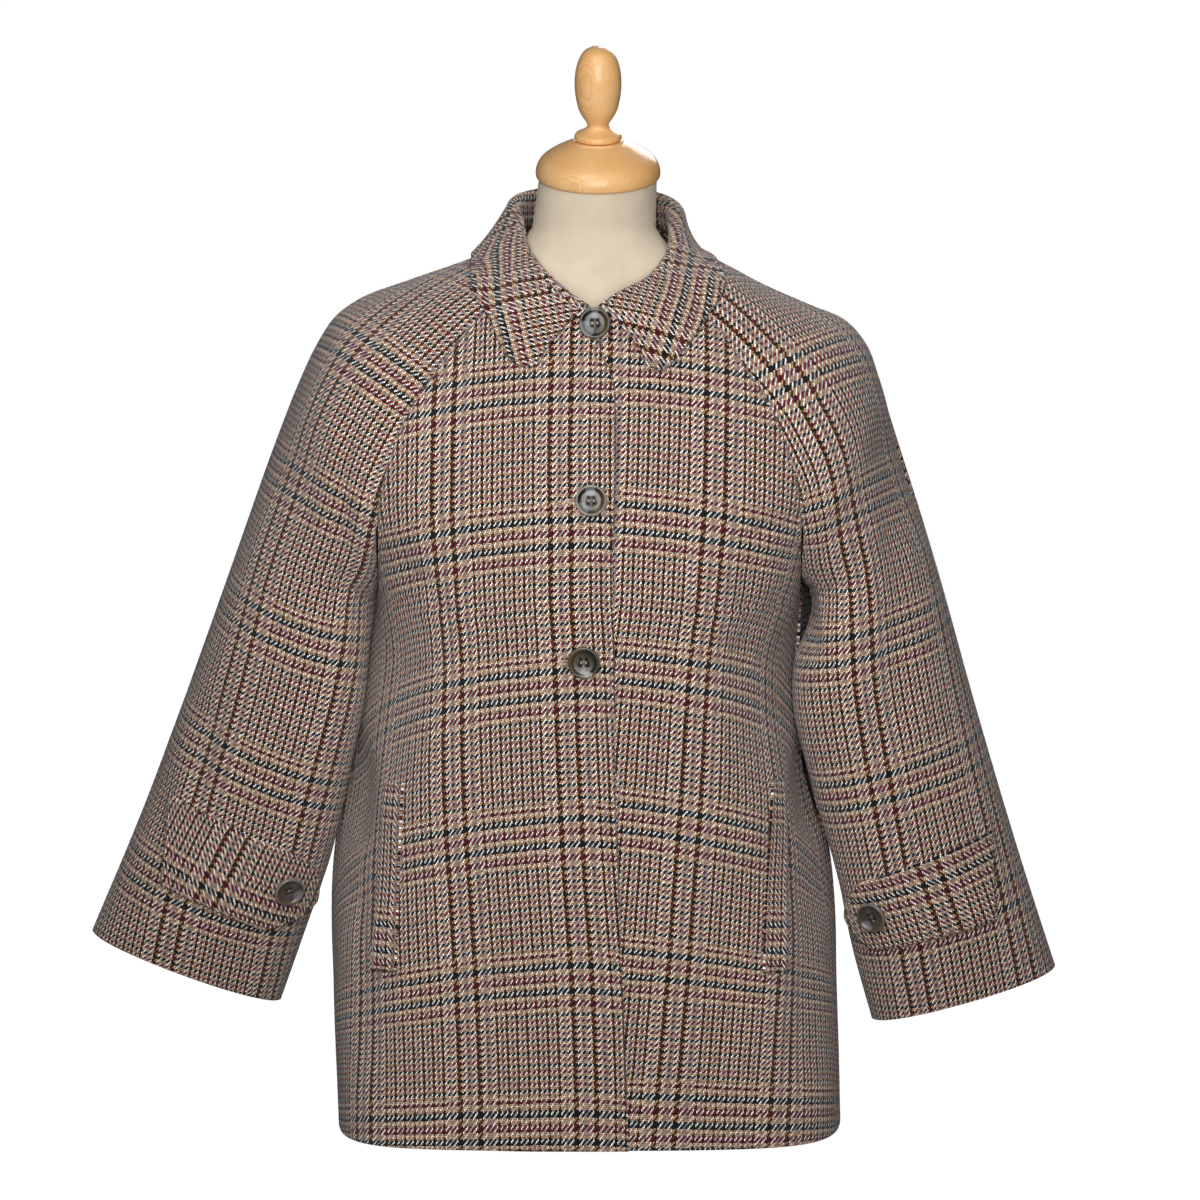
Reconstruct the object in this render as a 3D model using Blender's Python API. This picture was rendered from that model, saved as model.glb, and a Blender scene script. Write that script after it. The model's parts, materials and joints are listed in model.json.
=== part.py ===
"""Tweed raglan jacket on a dress form: each cut and sewn piece, and the form that carries it.

Metres, +Z up. The front faces -Y and the wearer's right side is at -X. The origin is the
centre of the stand's flat underside. The jacket's pieces are walls of cloth. They are worked
out from rows that run around the body or the sleeve, each row one smooth curve between two
edges, and the edges are short tables of sizes taken down the jacket.

Stations run down the jacket: 0 at the neck seam, 1 at the underarm, 2 at the hem.
"""
import math
from bisect import bisect_right
from collections import namedtuple

import bmesh
import bpy
import numpy as np
from mathutils import Matrix, Vector
from mathutils.bvhtree import BVHTree

# ------------------------------------------------------------------ driving sizes
CLOTH = 0.0024            # thickness of a wall of the tweed with what backs it
SEAM_GAP = 0.0003         # between two pieces sewn edge to edge
LAYER_GAP = 0.0005        # between a piece and what lies on it
FOLD_GAP = 0.0006         # between body and sleeve where the armhole folds shut
NECK_SEAM_RISE = 0.0007   # from the panels' neck edge up to the collar's stand

LEFT, RIGHT = -1, 1       # seen from the front: LEFT is the wearer's right side
FRONT, BACK = -1, 1

UPPER_STATIONS = (0, 0.09, 0.18, 0.27, 0.34, 0.40, 0.46, 0.52, 0.59, 0.67, 0.76, 0.88, 1.0)
LOWER_ROWS = 9            # cells from the underarm to the hem
FRONT_CELLS, BACK_CELLS, SLEEVE_CELLS = 11, 22, 11   # cells across each panel


# ------------------------------------------------------------------ the jacket's tables
# How far the jacket's centre line stands to the left of the form's, by height.
Sway = namedtuple("Sway", "v shift")
SWAY = [Sway(0.00, -0.0085), Sway(0.20, -0.0080), Sway(0.35, -0.0055), Sway(0.50, -0.0032),
        Sway(0.60, -0.0022), Sway(0.68, 0.0004), Sway(0.77, 0.0010)]

# Centre front and centre back: depth from the side plane, height, and how far the row runs
# straight across before it turns.
Centre = namedtuple("Centre", "v depth up reach")
CENTRE_FRONT = [
    Centre(0.00, 0.0850, 0.6730, 0.026), Centre(0.11, 0.0920, 0.6430, 0.040),
    Centre(0.30, 0.1090, 0.6030, 0.055), Centre(0.41, 0.1205, 0.5760, 0.062),
    Centre(0.51, 0.1320, 0.5430, 0.068), Centre(0.66, 0.1425, 0.4930, 0.084),
    Centre(0.87, 0.1490, 0.4490, 0.108), Centre(1.00, 0.1500, 0.4340, 0.118),
    Centre(1.30, 0.1510, 0.3080, 0.150), Centre(1.60, 0.1525, 0.1780, 0.160),
    Centre(2.00, 0.1530, 0.0080, 0.192)]
CENTRE_BACK = [
    Centre(0.00, 0.0740, 0.7390, 0.026), Centre(0.11, 0.0930, 0.7120, 0.042),
    Centre(0.30, 0.1110, 0.6640, 0.062), Centre(0.41, 0.1180, 0.6300, 0.072),
    Centre(0.51, 0.1230, 0.5900, 0.080), Centre(0.66, 0.1285, 0.5230, 0.092),
    Centre(0.87, 0.1315, 0.4600, 0.108), Centre(1.00, 0.1325, 0.4370, 0.114),
    Centre(1.30, 0.1370, 0.3090, 0.124), Centre(1.60, 0.1450, 0.1790, 0.134),
    Centre(2.00, 0.1600, 0.0080, 0.146)]

# Raglan seams, from the neck to the underarm: how far out, how deep, how high. body_in and
# body_on say how a body row arrives (towards the centre, away from the side plane).
# arm_out, arm_on and arm_up say how a sleeve row leaves.
Raglan = namedtuple("Raglan", "v out depth up body_in body_on arm_out arm_on arm_up")
RAGLAN_FRONT = [
    Raglan(0.00, 0.0550, 0.0560, 0.6940, 0.016, 0.018, 0.010, -0.018, 0.010),
    Raglan(0.11, 0.0870, 0.0690, 0.6725, 0.028, 0.014, 0.014, -0.004, 0.020),
    Raglan(0.30, 0.1275, 0.0920, 0.6215, 0.042, 0.013, 0.022, 0.000, 0.036),
    Raglan(0.41, 0.1480, 0.1030, 0.5890, 0.044, 0.014, 0.030, 0.002, 0.040),
    Raglan(0.51, 0.1610, 0.1090, 0.5530, 0.044, 0.018, 0.036, 0.006, 0.040),
    Raglan(0.59, 0.1680, 0.1080, 0.5260, 0.038, 0.028, 0.037, 0.014, 0.034),
    Raglan(0.66, 0.1705, 0.0990, 0.5010, 0.026, 0.034, 0.032, 0.028, 0.026),
    Raglan(0.74, 0.1705, 0.0820, 0.4790, 0.014, 0.042, 0.020, 0.044, 0.016),
    Raglan(0.87, 0.1715, 0.0430, 0.4520, 0.004, 0.073, 0.006, 0.077, 0.005),
    Raglan(1.00, 0.1725, 0.0000, 0.4350, 0.000, 0.112, 0.000, 0.113, 0.000)]
RAGLAN_BACK = [
    Raglan(0.00, 0.0480, 0.0560, 0.7330, 0.016, 0.016, 0.010, -0.018, -0.004),
    Raglan(0.11, 0.0790, 0.0730, 0.7030, 0.028, 0.016, 0.014, -0.006, 0.008),
    Raglan(0.30, 0.1210, 0.0930, 0.6500, 0.042, 0.014, 0.024, -0.002, 0.026),
    Raglan(0.41, 0.1420, 0.1010, 0.6120, 0.044, 0.014, 0.030, 0.002, 0.034),
    Raglan(0.51, 0.1570, 0.1050, 0.5720, 0.044, 0.018, 0.034, 0.006, 0.036),
    Raglan(0.59, 0.1640, 0.1030, 0.5410, 0.038, 0.028, 0.034, 0.014, 0.032),
    Raglan(0.66, 0.1672, 0.0950, 0.5120, 0.026, 0.032, 0.030, 0.028, 0.024),
    Raglan(0.74, 0.1688, 0.0790, 0.4860, 0.014, 0.038, 0.020, 0.043, 0.014),
    Raglan(0.87, 0.1702, 0.0420, 0.4550, 0.004, 0.063, 0.006, 0.073, 0.004),
    Raglan(1.00, 0.1725, 0.0000, 0.4350, 0.000, 0.098, 0.000, 0.108, 0.000)]

# Side seams, from the underarm to the hem: how far out on each side, height, and how long
# the row runs straight back to them from the front and from the back.
Side = namedtuple("Side", "v out_left out_right up front_on back_on tuck")
SIDE_SEAM = [
    Side(1.00, 0.1725, 0.1725, 0.4350, 0.112, 0.098, 0.000),
    Side(1.11, 0.1800, 0.1700, 0.3880, 0.113, 0.099, 0.032),
    Side(1.19, 0.1860, 0.1720, 0.3540, 0.118, 0.100, 0.036),
    Side(1.34, 0.1970, 0.1870, 0.2890, 0.124, 0.102, 0.034),
    Side(1.52, 0.2070, 0.2035, 0.2110, 0.118, 0.104, 0.024),
    Side(1.62, 0.2082, 0.2072, 0.1720, 0.122, 0.106, 0.008),
    Side(1.75, 0.2065, 0.2088, 0.1160, 0.126, 0.109, 0.000),
    Side(2.00, 0.2018, 0.2120, 0.0080, 0.140, 0.114, 0.000)]

# Over the arm, from the neck along the shoulder to the sleeve's hem: how far out and how
# high on each side, how far behind the side plane, and how long the row runs straight
# forward and straight back from it.
Over = namedtuple("Over", "v out_left up_left out_right up_right back_left back_right front_on back_on")
OVER_ARM = [
    Over(0.00, 0.0690, 0.7195, 0.0690, 0.7195, 0.000, 0.000, 0.022, 0.022),
    Over(0.11, 0.1080, 0.7060, 0.1010, 0.7065, 0.003, 0.003, 0.038, 0.040),
    Over(0.24, 0.1520, 0.6910, 0.1370, 0.6880, 0.005, 0.005, 0.050, 0.052),
    Over(0.36, 0.1930, 0.6750, 0.1760, 0.6710, 0.006, 0.006, 0.058, 0.058),
    Over(0.44, 0.2130, 0.6590, 0.2060, 0.6580, 0.006, 0.006, 0.064, 0.062),
    Over(0.50, 0.2245, 0.6400, 0.2215, 0.6415, 0.006, 0.006, 0.068, 0.066),
    Over(0.59, 0.2380, 0.6095, 0.2340, 0.6130, 0.007, 0.006, 0.076, 0.074),
    Over(0.70, 0.2510, 0.5760, 0.2455, 0.5770, 0.008, 0.007, 0.088, 0.084),
    Over(0.85, 0.2690, 0.5270, 0.2620, 0.5270, 0.009, 0.007, 0.103, 0.098),
    Over(1.00, 0.2865, 0.4765, 0.2785, 0.4765, 0.010, 0.008, 0.113, 0.108),
    Over(1.40, 0.3340, 0.3400, 0.3225, 0.3310, 0.013, 0.008, 0.104, 0.098),
    Over(1.70, 0.3700, 0.2420, 0.3560, 0.2260, 0.016, 0.007, 0.089, 0.080),
    Over(2.00, 0.4075, 0.1515, 0.3900, 0.1240, 0.019, 0.006, 0.068, 0.058)]

# Under the arm, from the underarm to the sleeve's hem.
Under = namedtuple("Under", "v out_left up_left out_right up_right back_left back_right front_on back_on tuck")
UNDER_ARM = [
    Under(1.00, 0.1731, 0.4350, 0.1731, 0.4350, 0.000, 0.000, 0.113, 0.108, 0.000),
    Under(1.12, 0.1822, 0.3920, 0.1724, 0.3900, 0.002, 0.001, 0.111, 0.105, 0.028),
    Under(1.24, 0.1885, 0.3530, 0.1748, 0.3500, 0.004, 0.002, 0.108, 0.102, 0.044),
    Under(1.42, 0.2002, 0.2880, 0.1902, 0.2850, 0.007, 0.003, 0.103, 0.096, 0.044),
    Under(1.64, 0.2125, 0.2130, 0.2095, 0.2060, 0.011, 0.004, 0.092, 0.084, 0.024),
    Under(1.83, 0.2330, 0.1480, 0.2225, 0.1400, 0.015, 0.004, 0.080, 0.071, 0.004),
    Under(2.00, 0.2520, 0.0935, 0.2390, 0.0800, 0.018, 0.005, 0.066, 0.056, 0.000)]

# The overlapping front's edge: how far right of the jacket's centre line, by station.
Lap = namedtuple("Lap", "v out")
LAP_EDGE = [Lap(0.00, 0.0035), Lap(0.10, 0.0065), Lap(0.24, 0.0178), Lap(0.45, 0.0205), Lap(0.72, 0.0187),
            Lap(1.20, 0.0225), Lap(1.55, 0.0290), Lap(2.00, 0.0365)]
UNDERLAP = 0.032          # how far the lower front runs on under the upper one, past the centre
LAP_FADE = 0.055          # past the lower front's edge, the upper front settles over this width

# Collar, from the centre front (0) by the shoulder (2) to the centre back (4), each side
# with its own leaf: the roll at its top and the leaf's outer edge.
Leaf = namedtuple("Leaf", "v roll_out roll_on roll_up round edge_out edge_on edge_up belly")
LEAF_LEFT = [
    Leaf(0.00, 0.0055, 0.0870, 0.6782, 0.0031, 0.0465, 0.1050, 0.6290, 0.003),
    Leaf(0.14, 0.0085, 0.0860, 0.6800, 0.0033, 0.0575, 0.1035, 0.6300, 0.004),
    Leaf(0.40, 0.0220, 0.0800, 0.6890, 0.0036, 0.0690, 0.0980, 0.6380, 0.004),
    Leaf(0.75, 0.0400, 0.0660, 0.7035, 0.0040, 0.0800, 0.0870, 0.6580, 0.004),
    Leaf(1.30, 0.0560, 0.0340, 0.7235, 0.0046, 0.0900, 0.0570, 0.6810, 0.003),
    Leaf(2.00, 0.0625, -0.0020, 0.7440, 0.0055, 0.1010, 0.0100, 0.7110, -0.001),
    Leaf(2.50, 0.0665, -0.0280, 0.7560, 0.0060, 0.0990, -0.0260, 0.7140, -0.001),
    Leaf(3.20, 0.0480, -0.0590, 0.7635, 0.0062, 0.0740, -0.0800, 0.7120, 0.002),
    Leaf(4.00, 0.0000, -0.0720, 0.7660, 0.0064, 0.0000, -0.1060, 0.7080, 0.004)]
LEAF_RIGHT = [
    Leaf(0.00, 0.0055, 0.0860, 0.6785, 0.0031, 0.0445, 0.1050, 0.6305, 0.003),
    Leaf(0.14, 0.0085, 0.0850, 0.6803, 0.0033, 0.0560, 0.1030, 0.6270, 0.004),
    Leaf(0.40, 0.0215, 0.0795, 0.6890, 0.0036, 0.0690, 0.0975, 0.6380, 0.004),
    Leaf(0.75, 0.0420, 0.0645, 0.6985, 0.0040, 0.0845, 0.0840, 0.6570, 0.004),
    Leaf(1.30, 0.0600, 0.0360, 0.7175, 0.0046, 0.0960, 0.0500, 0.6840, 0.003),
    Leaf(2.00, 0.0660, -0.0020, 0.7400, 0.0070, 0.0985, 0.0050, 0.7080, -0.003),
    Leaf(2.50, 0.0655, -0.0280, 0.7525, 0.0080, 0.0945, -0.0290, 0.7090, -0.004),
    Leaf(3.20, 0.0480, -0.0590, 0.7615, 0.0062, 0.0740, -0.0800, 0.7110, 0.002),
    Leaf(4.00, 0.0000, -0.0720, 0.7660, 0.0064, 0.0000, -0.1060, 0.7080, 0.004)]
COLLAR_STEPS = 17         # cells from the centre front to the centre back
COLLAR_START = 0.07       # the collar's ends are sewn this part of a front's neck edge from the centre

# Pocket welts: their top and lower end by station, and how far out from the jacket's centre
# line their middle runs at those two ends.
WELT_TOP, WELT_LOW = 1.325, 1.680
WELT_OUT = {LEFT: (0.1533, 0.1604), RIGHT: (0.1546, 0.1549)}
WELT_HALF = 0.0125
WELT_THICK = 0.0026

# Cuff tabs: station and part of the row (0 over the arm, 1 under it) of their two long edges,
# at the seamed root and at the corners where the blunt point starts.
Edge = namedtuple("Edge", "root_v root_t corner_v corner_t")
TAB_EDGES = {LEFT: (Edge(1.584, 0.197, 1.642, 0.761), Edge(1.797, 0.310, 1.822, 0.702)),
             RIGHT: (Edge(1.632, 0.206, 1.666, 0.747), Edge(1.831, 0.311, 1.828, 0.779))}
TAB_POINT = {LEFT: 0.175, RIGHT: 0.150}        # how far the point runs on, as a part of the row
TAB_THICK = 0.0026
CUFF_BUTTON = {LEFT: (1.7135, 0.7117), RIGHT: (1.7457, 0.7251)}

FRONT_BUTTON_STATIONS = (0.038, 0.562, 1.107)
FRONT_BUTTON_OUT = (0.0008, 0.0005, -0.0033)     # from the jacket's centre line

# ------------------------------------------------------------------ the form's tables
Ring = namedtuple("Ring", "v wide front back square")
TORSO = [
    Ring(0.085, 0.146, 0.098, 0.104, 2.4), Ring(0.140, 0.150, 0.101, 0.109, 2.4),
    Ring(0.215, 0.143, 0.098, 0.100, 2.4), Ring(0.290, 0.124, 0.091, 0.084, 2.3),
    Ring(0.340, 0.117, 0.088, 0.077, 2.2), Ring(0.400, 0.124, 0.094, 0.083, 2.2),
    Ring(0.460, 0.136, 0.112, 0.092, 2.2), Ring(0.510, 0.144, 0.123, 0.098, 2.2),
    Ring(0.555, 0.150, 0.116, 0.102, 2.3), Ring(0.600, 0.158, 0.100, 0.104, 2.5),
    Ring(0.635, 0.168, 0.084, 0.096, 2.5), Ring(0.6554, 0.174, 0.074, 0.088, 2.3),
    Ring(0.6674, 0.170, 0.066, 0.081, 2.2), Ring(0.6774, 0.152, 0.060, 0.075, 2.1),
    Ring(0.6874, 0.128, 0.054, 0.069, 2.0), Ring(0.6984, 0.101, 0.049, 0.063, 2.0),
    Ring(0.7094, 0.077, 0.046, 0.058, 2.0), Ring(0.7214, 0.060, 0.045, 0.053, 2.0),
    Ring(0.735, 0.0505, 0.0455, 0.049, 2.0)]
TORSO_SIDES = 32
NECK_TILT = math.radians(13.5)        # the neck plate leans to the front
NECK_TOP = Vector((0.0034, -0.006, 0.7753))
NECK_RADIUS = 0.0480
NECK_STEPS = 3

Turned = namedtuple("Turned", "radius height")
CAP = [Turned(0.0000, 0.0000), Turned(0.0484, 0.0000), Turned(0.0500, 0.0014), Turned(0.0506, 0.0044),
       Turned(0.0498, 0.0097), Turned(0.0465, 0.0157), Turned(0.0395, 0.0213), Turned(0.0308, 0.0262),
       Turned(0.0245, 0.0291), Turned(0.0206, 0.0308), Turned(0.0203, 0.0316), Turned(0.0000, 0.0316)]
FINIAL = [Turned(0.0000, 0.0000), Turned(0.0176, 0.0000), Turned(0.0189, 0.0009), Turned(0.0190, 0.0036),
          Turned(0.0184, 0.0048), Turned(0.0158, 0.0064), Turned(0.0124, 0.0081), Turned(0.0100, 0.0098),
          Turned(0.0087, 0.0120), Turned(0.0091, 0.0140), Turned(0.0107, 0.0166), Turned(0.0134, 0.0208),
          Turned(0.0156, 0.0253), Turned(0.0173, 0.0318), Turned(0.0186, 0.0401), Turned(0.0189, 0.0472),
          Turned(0.0184, 0.0557), Turned(0.0170, 0.0623), Turned(0.0148, 0.0682), Turned(0.0110, 0.0738),
          Turned(0.0062, 0.0766), Turned(0.0000, 0.0772)]
COLUMN = [Turned(0.0000, 0.0000), Turned(0.0260, 0.0000), Turned(0.0260, 0.0060), Turned(0.0190, 0.0120),
          Turned(0.0165, 0.0260), Turned(0.0165, 0.0400), Turned(0.0200, 0.0520), Turned(0.0260, 0.0560),
          Turned(0.0260, 0.0664), Turned(0.0000, 0.0664)]
BASE_RADIUS, BASE_THICK, BASE_ROUND = 0.130, 0.018, 0.006
TURNED_SIDES = 28

# ------------------------------------------------------------------ materials
TWEED = ("tweed", (0.20, 0.155, 0.140), 0.95, 0.0)
HORN = ("horn", (0.060, 0.050, 0.043), 0.30, 0.0)
JERSEY = ("jersey", (0.72, 0.63, 0.50), 0.90, 0.0)
BEECH = ("beech", (0.71, 0.43, 0.19), 0.35, 0.0)


def clear_scene():
    """Take away whatever the file opened with."""
    for item in list(bpy.data.objects):
        bpy.data.objects.remove(item, do_unlink=True)


def material(finish):
    """One Principled material for each finish, made once."""
    name, color, roughness, metallic = finish
    found = bpy.data.materials.get(name)
    if found:
        return found
    made = bpy.data.materials.new(name)
    made.use_nodes = True
    shader = made.node_tree.nodes["Principled BSDF"]
    shader.inputs["Base Color"].default_value = (*color, 1.0)
    shader.inputs["Roughness"].default_value = roughness
    shader.inputs["Metallic"].default_value = metallic
    return made


# ------------------------------------------------------------------ curves and rows
def at(rows, v):
    """Every column of a table at station v, on a smooth curve through its rows."""
    keys = [row.v for row in rows]
    values = np.array(rows, dtype=float)
    steps = np.diff(values[:, 0])[:, None]
    slopes = np.diff(values, axis=0) / steps
    bends = np.vstack([slopes[:1], slopes[-1:]])
    if len(rows) > 2:
        inner = (slopes[:-1] * steps[1:] + slopes[1:] * steps[:-1]) / (steps[1:] + steps[:-1])
        bends = np.vstack([slopes[:1], inner, slopes[-1:]])
    i = min(max(bisect_right(keys, v) - 1, 0), len(rows) - 2)
    h = steps[i, 0]
    s = min(max((v - keys[i]) / h, 0.0), 1.0)
    point = ((2 * s**3 - 3 * s**2 + 1) * values[i] + (s**3 - 2 * s**2 + s) * h * bends[i]
             + (3 * s**2 - 2 * s**3) * values[i + 1] + (s**3 - s**2) * h * bends[i + 1])
    return type(rows[0])(*point)


def ease(low, high, x):
    """0 below low, 1 above high, and a smooth slope between."""
    s = np.clip((x - low) / (high - low), 0.0, 1.0)
    return s * s * (3 - 2 * s)


def bezier(ends, t):
    """Points at t on the cubic curve with these four control points."""
    p0, p1, p2, p3 = (np.array(p, dtype=float) for p in ends)
    t = np.atleast_1d(np.asarray(t, dtype=float))[:, None]
    return (1 - t)**3 * p0 + 3 * (1 - t)**2 * t * p1 + 3 * (1 - t) * t**2 * p2 + t**3 * p3


def placed(points, side):
    """Turn (out, depth with its sign, up) into x, y, z on one side of the jacket."""
    points = np.array(points, dtype=float)
    shift = np.array([at(SWAY, up).shift for up in points[:, 2]])
    points[:, 0] = shift + side * points[:, 0]
    return points


def body_row(side, face, v, t):
    """A row of the body at station v, from the centre (t = 0) to the raglan or side seam."""
    centre = at(CENTRE_FRONT if face == FRONT else CENTRE_BACK, v)
    start = (0.0, face * centre.depth, centre.up)
    turn = (centre.reach, face * centre.depth, centre.up)
    if v <= 1.0:
        seam = at(RAGLAN_FRONT if face == FRONT else RAGLAN_BACK, v)
        end = (seam.out, face * seam.depth, seam.up)
        arrive = (seam.out - seam.body_in, face * (seam.depth + seam.body_on), seam.up)
    else:
        seam = at(SIDE_SEAM, v)
        out = seam.out_left if side == LEFT else seam.out_right
        on = seam.front_on if face == FRONT else seam.back_on
        end = (out, 0.0, seam.up)
        arrive = (out - (seam.tuck if face == FRONT else 0.0), face * on, seam.up)
    return placed(bezier((start, turn, arrive, end), t), side)


def across_body(face, v, w):
    """Points at w on the whole row: -1 at the left seam, 0 at the centre, 1 at the right seam."""
    return np.vstack([body_row(RIGHT if x > 0 else LEFT, face, v, abs(x)) for x in np.atleast_1d(w)])


def share_at_x(side, v, out):
    """The part of a front row at which it is out from the centre line."""
    low, high = 0.0, 1.0
    for _ in range(24):
        middle = (low + high) / 2
        point = body_row(side, FRONT, v, middle)[0]
        reached = abs(point[0] - at(SWAY, point[2]).shift)
        low, high = (middle, high) if reached < out else (low, middle)
    return low


def sleeve_row(side, face, v, t):
    """A row of the sleeve at station v, from over the arm (t = 0) to the raglan or underarm seam."""
    over = at(OVER_ARM, v)
    left = side == LEFT
    out, up, back = ((over.out_left, over.up_left, over.back_left) if left
                     else (over.out_right, over.up_right, over.back_right))
    on = over.front_on if face == FRONT else over.back_on
    start = (out, back, up)
    leave = (out, back + face * on, up)
    if v <= 1.0:
        seam = at(RAGLAN_FRONT if face == FRONT else RAGLAN_BACK, v)
        shut = FOLD_GAP * float(ease(0.55, 0.80, v))
        end = (seam.out + shut, face * seam.depth, seam.up)
        arrive = (seam.out + shut + seam.arm_out, face * (seam.depth + seam.arm_on), seam.up + seam.arm_up)
    else:
        under = at(UNDER_ARM, v)
        out, up, back = ((under.out_left, under.up_left, under.back_left) if left
                         else (under.out_right, under.up_right, under.back_right))
        on = under.front_on if face == FRONT else under.back_on
        end = (out, back, up)
        arrive = (out - (under.tuck if face == FRONT else 0.0), back + face * on, up)
    return placed(bezier((start, leave, arrive, end), t), side)


STATIONS = np.concatenate([UPPER_STATIONS, np.linspace(1, 2, LOWER_ROWS + 1)[1:]])


# ------------------------------------------------------------------ walls
def normals_of(grid, sign):
    """Unit normals of a grid of points, on the side that sign picks."""
    down = np.gradient(grid, axis=0)
    across = np.gradient(grid, axis=1)
    normal = sign * np.cross(across, down)
    return normal / np.linalg.norm(normal, axis=2, keepdims=True)


def trim(grid, edge, by=SEAM_GAP / 2):
    """Draw one edge of a grid back along its own rows, to leave the seam's gap."""
    rim, inner = {"first": (0, 1), "last": (-1, -2)}[edge]
    step = grid[:, inner] - grid[:, rim]
    grid[:, rim] += step * (by / np.linalg.norm(step, axis=1, keepdims=True))


def share_normals(one, one_edge, other, other_edge, rows):
    """Give both pieces the same normals along a seam, unless the seam is folded shut."""
    for row in rows:
        a, b = one[row, one_edge], other[row, other_edge]
        if a @ b > 0.3:
            middle = (a + b) / np.linalg.norm(a + b)
            one[row, one_edge] = middle
            other[row, other_edge] = middle


def solid(name, verts, faces, finish, sharp=math.radians(60)):
    """One closed object from points and faces, with its faces turned out."""
    mesh = bpy.data.meshes.new(name)
    bm = bmesh.new()
    points = [bm.verts.new(v) for v in verts]
    for face in faces:
        bm.faces.new([points[i] for i in face])
    bmesh.ops.triangulate(bm, faces=[f for f in bm.faces if len(f.verts) > 4])
    bmesh.ops.recalc_face_normals(bm, faces=bm.faces)
    bm.to_mesh(mesh)
    bm.free()
    mesh.materials.append(material(finish))
    mesh.shade_smooth()
    mesh.set_sharp_from_angle(angle=sharp)
    made = bpy.data.objects.new(name, mesh)
    bpy.context.collection.objects.link(made)
    return made


def wall(name, outer, inner, finish=TWEED):
    """A closed wall between two grids of the same shape."""
    rows, columns = outer.shape[:2]
    verts = np.vstack([outer.reshape(-1, 3), inner.reshape(-1, 3)])
    under = rows * columns

    def cell(r, c):
        return r * columns + c

    faces = []
    for r in range(rows - 1):
        for c in range(columns - 1):
            ring = [cell(r, c), cell(r, c + 1), cell(r + 1, c + 1), cell(r + 1, c)]
            if np.linalg.norm(verts[ring[0]] - verts[ring[2]]) > np.linalg.norm(verts[ring[1]] - verts[ring[3]]):
                ring = ring[1:] + ring[:1]
            a, b, d, e = ring
            faces += [(a, b, d), (a, d, e), (under + a, under + d, under + b), (under + a, under + e, under + d)]
    rim = ([cell(0, c) for c in range(columns)] + [cell(r, columns - 1) for r in range(1, rows)]
           + [cell(rows - 1, c) for c in range(columns - 2, -1, -1)]
           + [cell(r, 0) for r in range(rows - 2, 0, -1)])
    for a, b in zip(rim, rim[1:] + rim[:1]):
        faces.append((a, under + a, under + b, b))
    return solid(name, verts.tolist(), faces, finish)


# ------------------------------------------------------------------ the cloth
def front_grid(side):
    """One front's outer points: its own side of the body, then what laps past the centre."""
    rows = []
    shares = np.linspace(1, 0, FRONT_CELLS + 1)
    for v in STATIONS:
        past = at(LAP_EDGE, v).out if side == LEFT else UNDERLAP
        beyond = share_at_x(-side, v, past)
        w = np.concatenate([shares * side, -side * beyond * np.array([0.5, 1.0])])
        rows.append(across_body(FRONT, v, w))
    return np.array(rows)


def lap_lift(v, point):
    """How far the overlapping front stands off its row at a point, to lie on the other front."""
    out = at(SWAY, point[2]).shift - point[0]
    flat = UNDERLAP + 0.004
    seam = at(RAGLAN_FRONT, v).out if v <= 1.0 else 1.0
    return (CLOTH + LAYER_GAP) * (1 - float(ease(flat, min(flat + LAP_FADE, seam), out)))


def cloth_grids():
    """The outer points and the normals of every panel, with shared normals along the seams."""
    grids, normals = {}, {}
    for side, name in ((LEFT, "front_right"), (RIGHT, "front_left")):
        grids[name] = front_grid(side)
        normals[name] = normals_of(grids[name], side)
    across = np.linspace(-1, 1, BACK_CELLS + 1)
    grids["back"] = np.array([across_body(BACK, v, across) for v in STATIONS])
    normals["back"] = normals_of(grids["back"], 1)
    t = np.linspace(0, 1, SLEEVE_CELLS + 1)
    for side, wearer in ((LEFT, "right"), (RIGHT, "left")):
        for face, half in ((FRONT, "front"), (BACK, "back")):
            name = f"sleeve_{half}_{wearer}"
            grids[name] = np.array([sleeve_row(side, face, v, t) for v in STATIONS])
            normals[name] = normals_of(grids[name], -side * face)
    underarm = len(UPPER_STATIONS) - 1
    upper, lower = range(underarm + 1), range(underarm, len(STATIONS))
    for wearer, back_edge in (("right", 0), ("left", -1)):
        front, back = normals[f"front_{wearer}"], normals["back"]
        arm_front, arm_back = normals[f"sleeve_front_{wearer}"], normals[f"sleeve_back_{wearer}"]
        share_normals(front, 0, arm_front, -1, upper)
        share_normals(back, back_edge, arm_back, -1, upper)
        share_normals(front, 0, back, back_edge, lower)
        share_normals(arm_front, -1, arm_back, -1, lower)
        share_normals(arm_front, 0, arm_back, 0, range(len(STATIONS)))
    return grids, normals


def skin_of(grids):
    """The panels' outer faces in one searchable skin, with its normals pointing out."""
    points, faces = [], []
    for name, grid in grids.items():
        rows, columns = grid.shape[:2]
        first = len(points)
        points += [Vector(p) for p in grid.reshape(-1, 3)]
        turned_over = name in ("front_right", "sleeve_front_right", "sleeve_back_left")
        for r in range(rows - 1):
            for c in range(columns - 1):
                a = first + r * columns + c
                ring = (a, a + 1, a + columns + 1, a + columns)
                faces.append(ring[::-1] if turned_over else ring)
    return BVHTree.FromPolygons(points, faces)


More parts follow.
